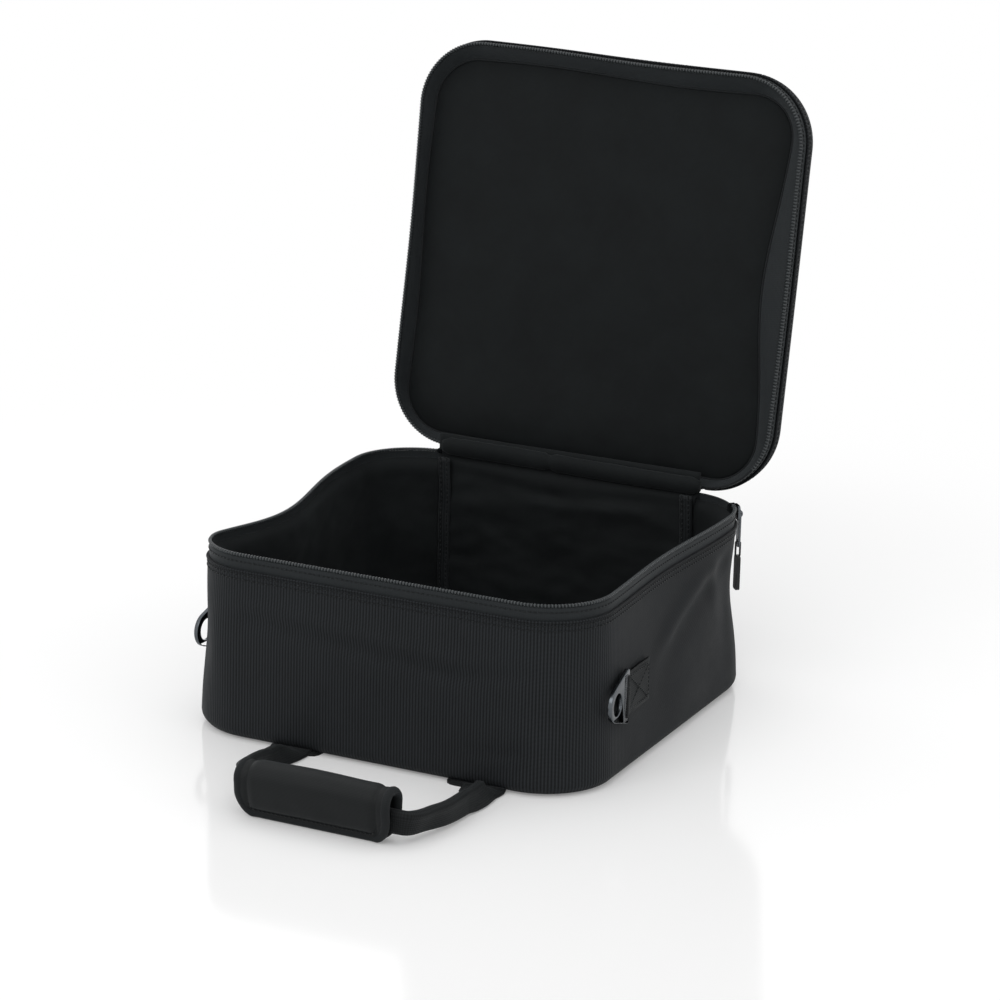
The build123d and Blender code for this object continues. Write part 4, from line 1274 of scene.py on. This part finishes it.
def buildLidHandle():
    # a plain loop of webbing that hangs from the two folds sewn near the lid's front edge
    pivot = np.array(jointNamed("lid_handle_hinge")["pos_m"]) / mm
    low, high = boxMm("lid_handle_webbing")
    reach = pivot[2] - low[2] - 12.5
    path = [(-68, 0), (-68, -30), (-67, -70), (-62, -reach + 22), (-40, -reach + 3), (0, -reach), (40, -reach + 3), (62, -reach + 22), (67, -70), (68, -30), (68, 0)]
    pts = np.array([(x, pivot[1] + 2.2, pivot[2] + z - 2) for x, z in path])
    line = spline3(pts, 160)
    line, run = evenly(line, 2.5)
    tangent = np.gradient(line, axis=0)
    tangent /= np.linalg.norm(tangent, axis=1, keepdims=True)
    side = np.cross(tangent, (0, 1, 0))
    side /= np.linalg.norm(side, axis=1, keepdims=True)
    across = np.linspace(-1, 1, 11)
    grid = line[:, None] + side[:, None] * (across * 12.5)[None, :, None]
    normal = np.zeros_like(grid)
    normal[..., 1] = 1
    grid[..., 1] += 0.9 - 0.35 * np.abs(across[None]) ** 4 + 0.5 * noise3(grid, 40, 51)
    uv = np.stack([np.repeat((across * 12.5)[None], len(line), 0), np.repeat(run[:, None], 11, 1)], -1)
    web = clothFromGrid("web", grid, normal, 1.8, uv, webbingWeave)
    folds = []
    for x in (-68, 68):
        xs = np.linspace(x - 12.5, x + 12.5, 12)
        folds.append(tube("fold", np.stack([xs, np.full(12, pivot[1]), np.full(12, pivot[2])], -1), 3.1, webbingWeave, sides=16, up=(0, 0, 1)))
    keep(joined("lidHandleWebbing", web, *folds), "lid_handle", "webbing", "lid_handle_webbing")


def dressCadNodes():
    # CAD pieces that keep their own shape take a finish here
    finishes = {"zip_slider": blackNickel, "pull_tab": blackNickel, "zip_end_stop": blackNickel, "lid_zip_end_stop": blackNickel,
                "pull_tag": mouldedTag}
    for node, material in finishes.items():
        obj = frame["nodes"][node]
        obj.data.materials.clear()
        obj.data.materials.append(material)


buildBaseHandle()
buildRing(1)
buildRing(-1)
buildLidWebbing()
buildLidHandle()
dressCadNodes()
print("handle, rings and fittings built")


# floor, lights and camera

stageSizes = {"floorHalf": 6.0, "fadeStart": 0.5, "fadeEnd": 0.95, "floorGlow": 0.18, "skyForLight": 0.68, "keyPower": 15.0, "fillPower": 2.0, "backPower": 7.0}


def buildStage():
    world = bpy.data.worlds.new("studio")
    bpy.context.scene.world = world
    world.use_nodes = True
    tree = world.node_tree
    tree.nodes.clear()
    path = addNode(tree, "ShaderNodeLightPath")
    straight = addNode(tree, "ShaderNodeMath", {0: path.outputs["Is Camera Ray"], 1: path.outputs["Is Transmission Ray"]}, operation="MAXIMUM")
    seen = addNode(tree, "ShaderNodeMath", {0: straight.outputs[0], 1: path.outputs["Is Glossy Ray"]}, operation="MAXIMUM")
    strength = addNode(tree, "ShaderNodeMapRange", {"Value": seen.outputs[0], "To Min": stageSizes["skyForLight"], "To Max": 1.0})
    background = addNode(tree, "ShaderNodeBackground", {"Color": (1, 1, 1, 1), "Strength": strength.outputs["Result"]})
    addNode(tree, "ShaderNodeOutputWorld", {"Surface": background.outputs["Background"]})
    # polished white floor: it mirrors the case faintly, more so at a low angle
    mat = bpy.data.materials.new("polishedWhiteFloor")
    mat.use_nodes = True
    tree = mat.node_tree
    tree.nodes.clear()
    path = addNode(tree, "ShaderNodeLightPath")
    shader = addNode(tree, "ShaderNodeBsdfPrincipled", {"Base Color": (0.93, 0.93, 0.93, 1), "Roughness": 0.10, "IOR": 1.45})
    glow = addNode(tree, "ShaderNodeEmission", {"Color": (1, 1, 1, 1), "Strength": stageSizes["floorGlow"]})
    both = addNode(tree, "ShaderNodeAddShader")
    tree.links.new(shader.outputs["BSDF"], both.inputs[0])
    tree.links.new(glow.outputs["Emission"], both.inputs[1])
    # away from the case the floor turns into the white of the sweep behind it
    here = addNode(tree, "ShaderNodeTexCoord")
    away = addNode(tree, "ShaderNodeVectorMath", {0: here.outputs["Object"]}, operation="LENGTH")
    fade = addNode(tree, "ShaderNodeMapRange", {
        "Value": away.outputs["Value"], "From Min": stageSizes["fadeStart"], "From Max": stageSizes["fadeEnd"]}, interpolation_type="SMOOTHSTEP")
    plainWhite = addNode(tree, "ShaderNodeEmission", {"Color": (1, 1, 1, 1), "Strength": 1.0})
    far = addNode(tree, "ShaderNodeMixShader", {"Fac": fade.outputs["Result"]})
    tree.links.new(both.outputs["Shader"], far.inputs[1])
    tree.links.new(plainWhite.outputs["Emission"], far.inputs[2])
    mix = addNode(tree, "ShaderNodeMixShader", {"Fac": path.outputs["Is Camera Ray"]})
    tree.links.new(shader.outputs["BSDF"], mix.inputs[1])
    tree.links.new(far.outputs["Shader"], mix.inputs[2])
    addNode(tree, "ShaderNodeOutputMaterial", {"Surface": mix.outputs["Shader"]})
    half = stageSizes["floorHalf"] / mm
    floor = makeMesh("floor", [(-half, -half, -0.05), (half, -half, -0.05), (half, half, -0.05), (-half, half, -0.05)], [(0, 1, 2, 3)], material=mat, shadeSmooth=False)


def areaLight(name, place, aim, size, power):
    light = bpy.data.lights.new(name, "AREA")
    light.shape = "RECTANGLE"
    light.size, light.size_y = size
    light.energy = power
    obj = bpy.data.objects.new(name, light)
    bpy.context.scene.collection.objects.link(obj)
    obj.location = place
    obj.rotation_euler = (Vector(aim) - Vector(place)).to_track_quat("-Z", "Y").to_euler()


def buildLights():
    s = stageSizes
    areaLight("softboxFront", (-0.1, -2.1, 1.9), (0, 0, 0.15), (2.2, 1.4), s["keyPower"])
    areaLight("softboxRight", (2.2, -0.5, 1.0), (0, 0, 0.1), (1.2, 1.2), s["fillPower"])
    areaLight("softboxTop", (0.0, 0.4, 2.4), (0, 0, 0.1), (1.8, 1.8), s["backPower"])


def buildCamera():
    # long lens, a little above the case and round to its right
    wide = case["width"] * mm
    focalPx, azimuth, elevation, roll, distance = 3501.0, 25.89, 16.6, 1.28, 8.066 * wide
    target = Vector((0.0177, 0.0806, 0.4675)) * wide
    a, e = math.radians(azimuth), math.radians(elevation)
    back = Vector((math.sin(a) * math.cos(e), -math.cos(a) * math.cos(e), math.sin(e)))
    right = (-back).cross(Vector((0, 0, 1))).normalized()
    up = right.cross(-back)
    r = math.radians(roll)
    right2, up2 = right * math.cos(r) + up * math.sin(r), up * math.cos(r) - right * math.sin(r)
    data = bpy.data.cameras.new("camera")
    data.sensor_width = 36.0
    data.lens = focalPx * 36.0 / 1000.0
    data.clip_end = 50
    cam = bpy.data.objects.new("camera", data)
    bpy.context.scene.collection.objects.link(cam)
    turn = Matrix((right2, up2, back)).transposed().to_4x4()
    cam.matrix_world = Matrix.Translation(target + back * distance) @ turn
    bpy.context.scene.camera = cam


buildStage()
buildLights()
buildCamera()
bpy.context.scene.view_settings.view_transform = "Standard"
print("stage, lights and camera set")
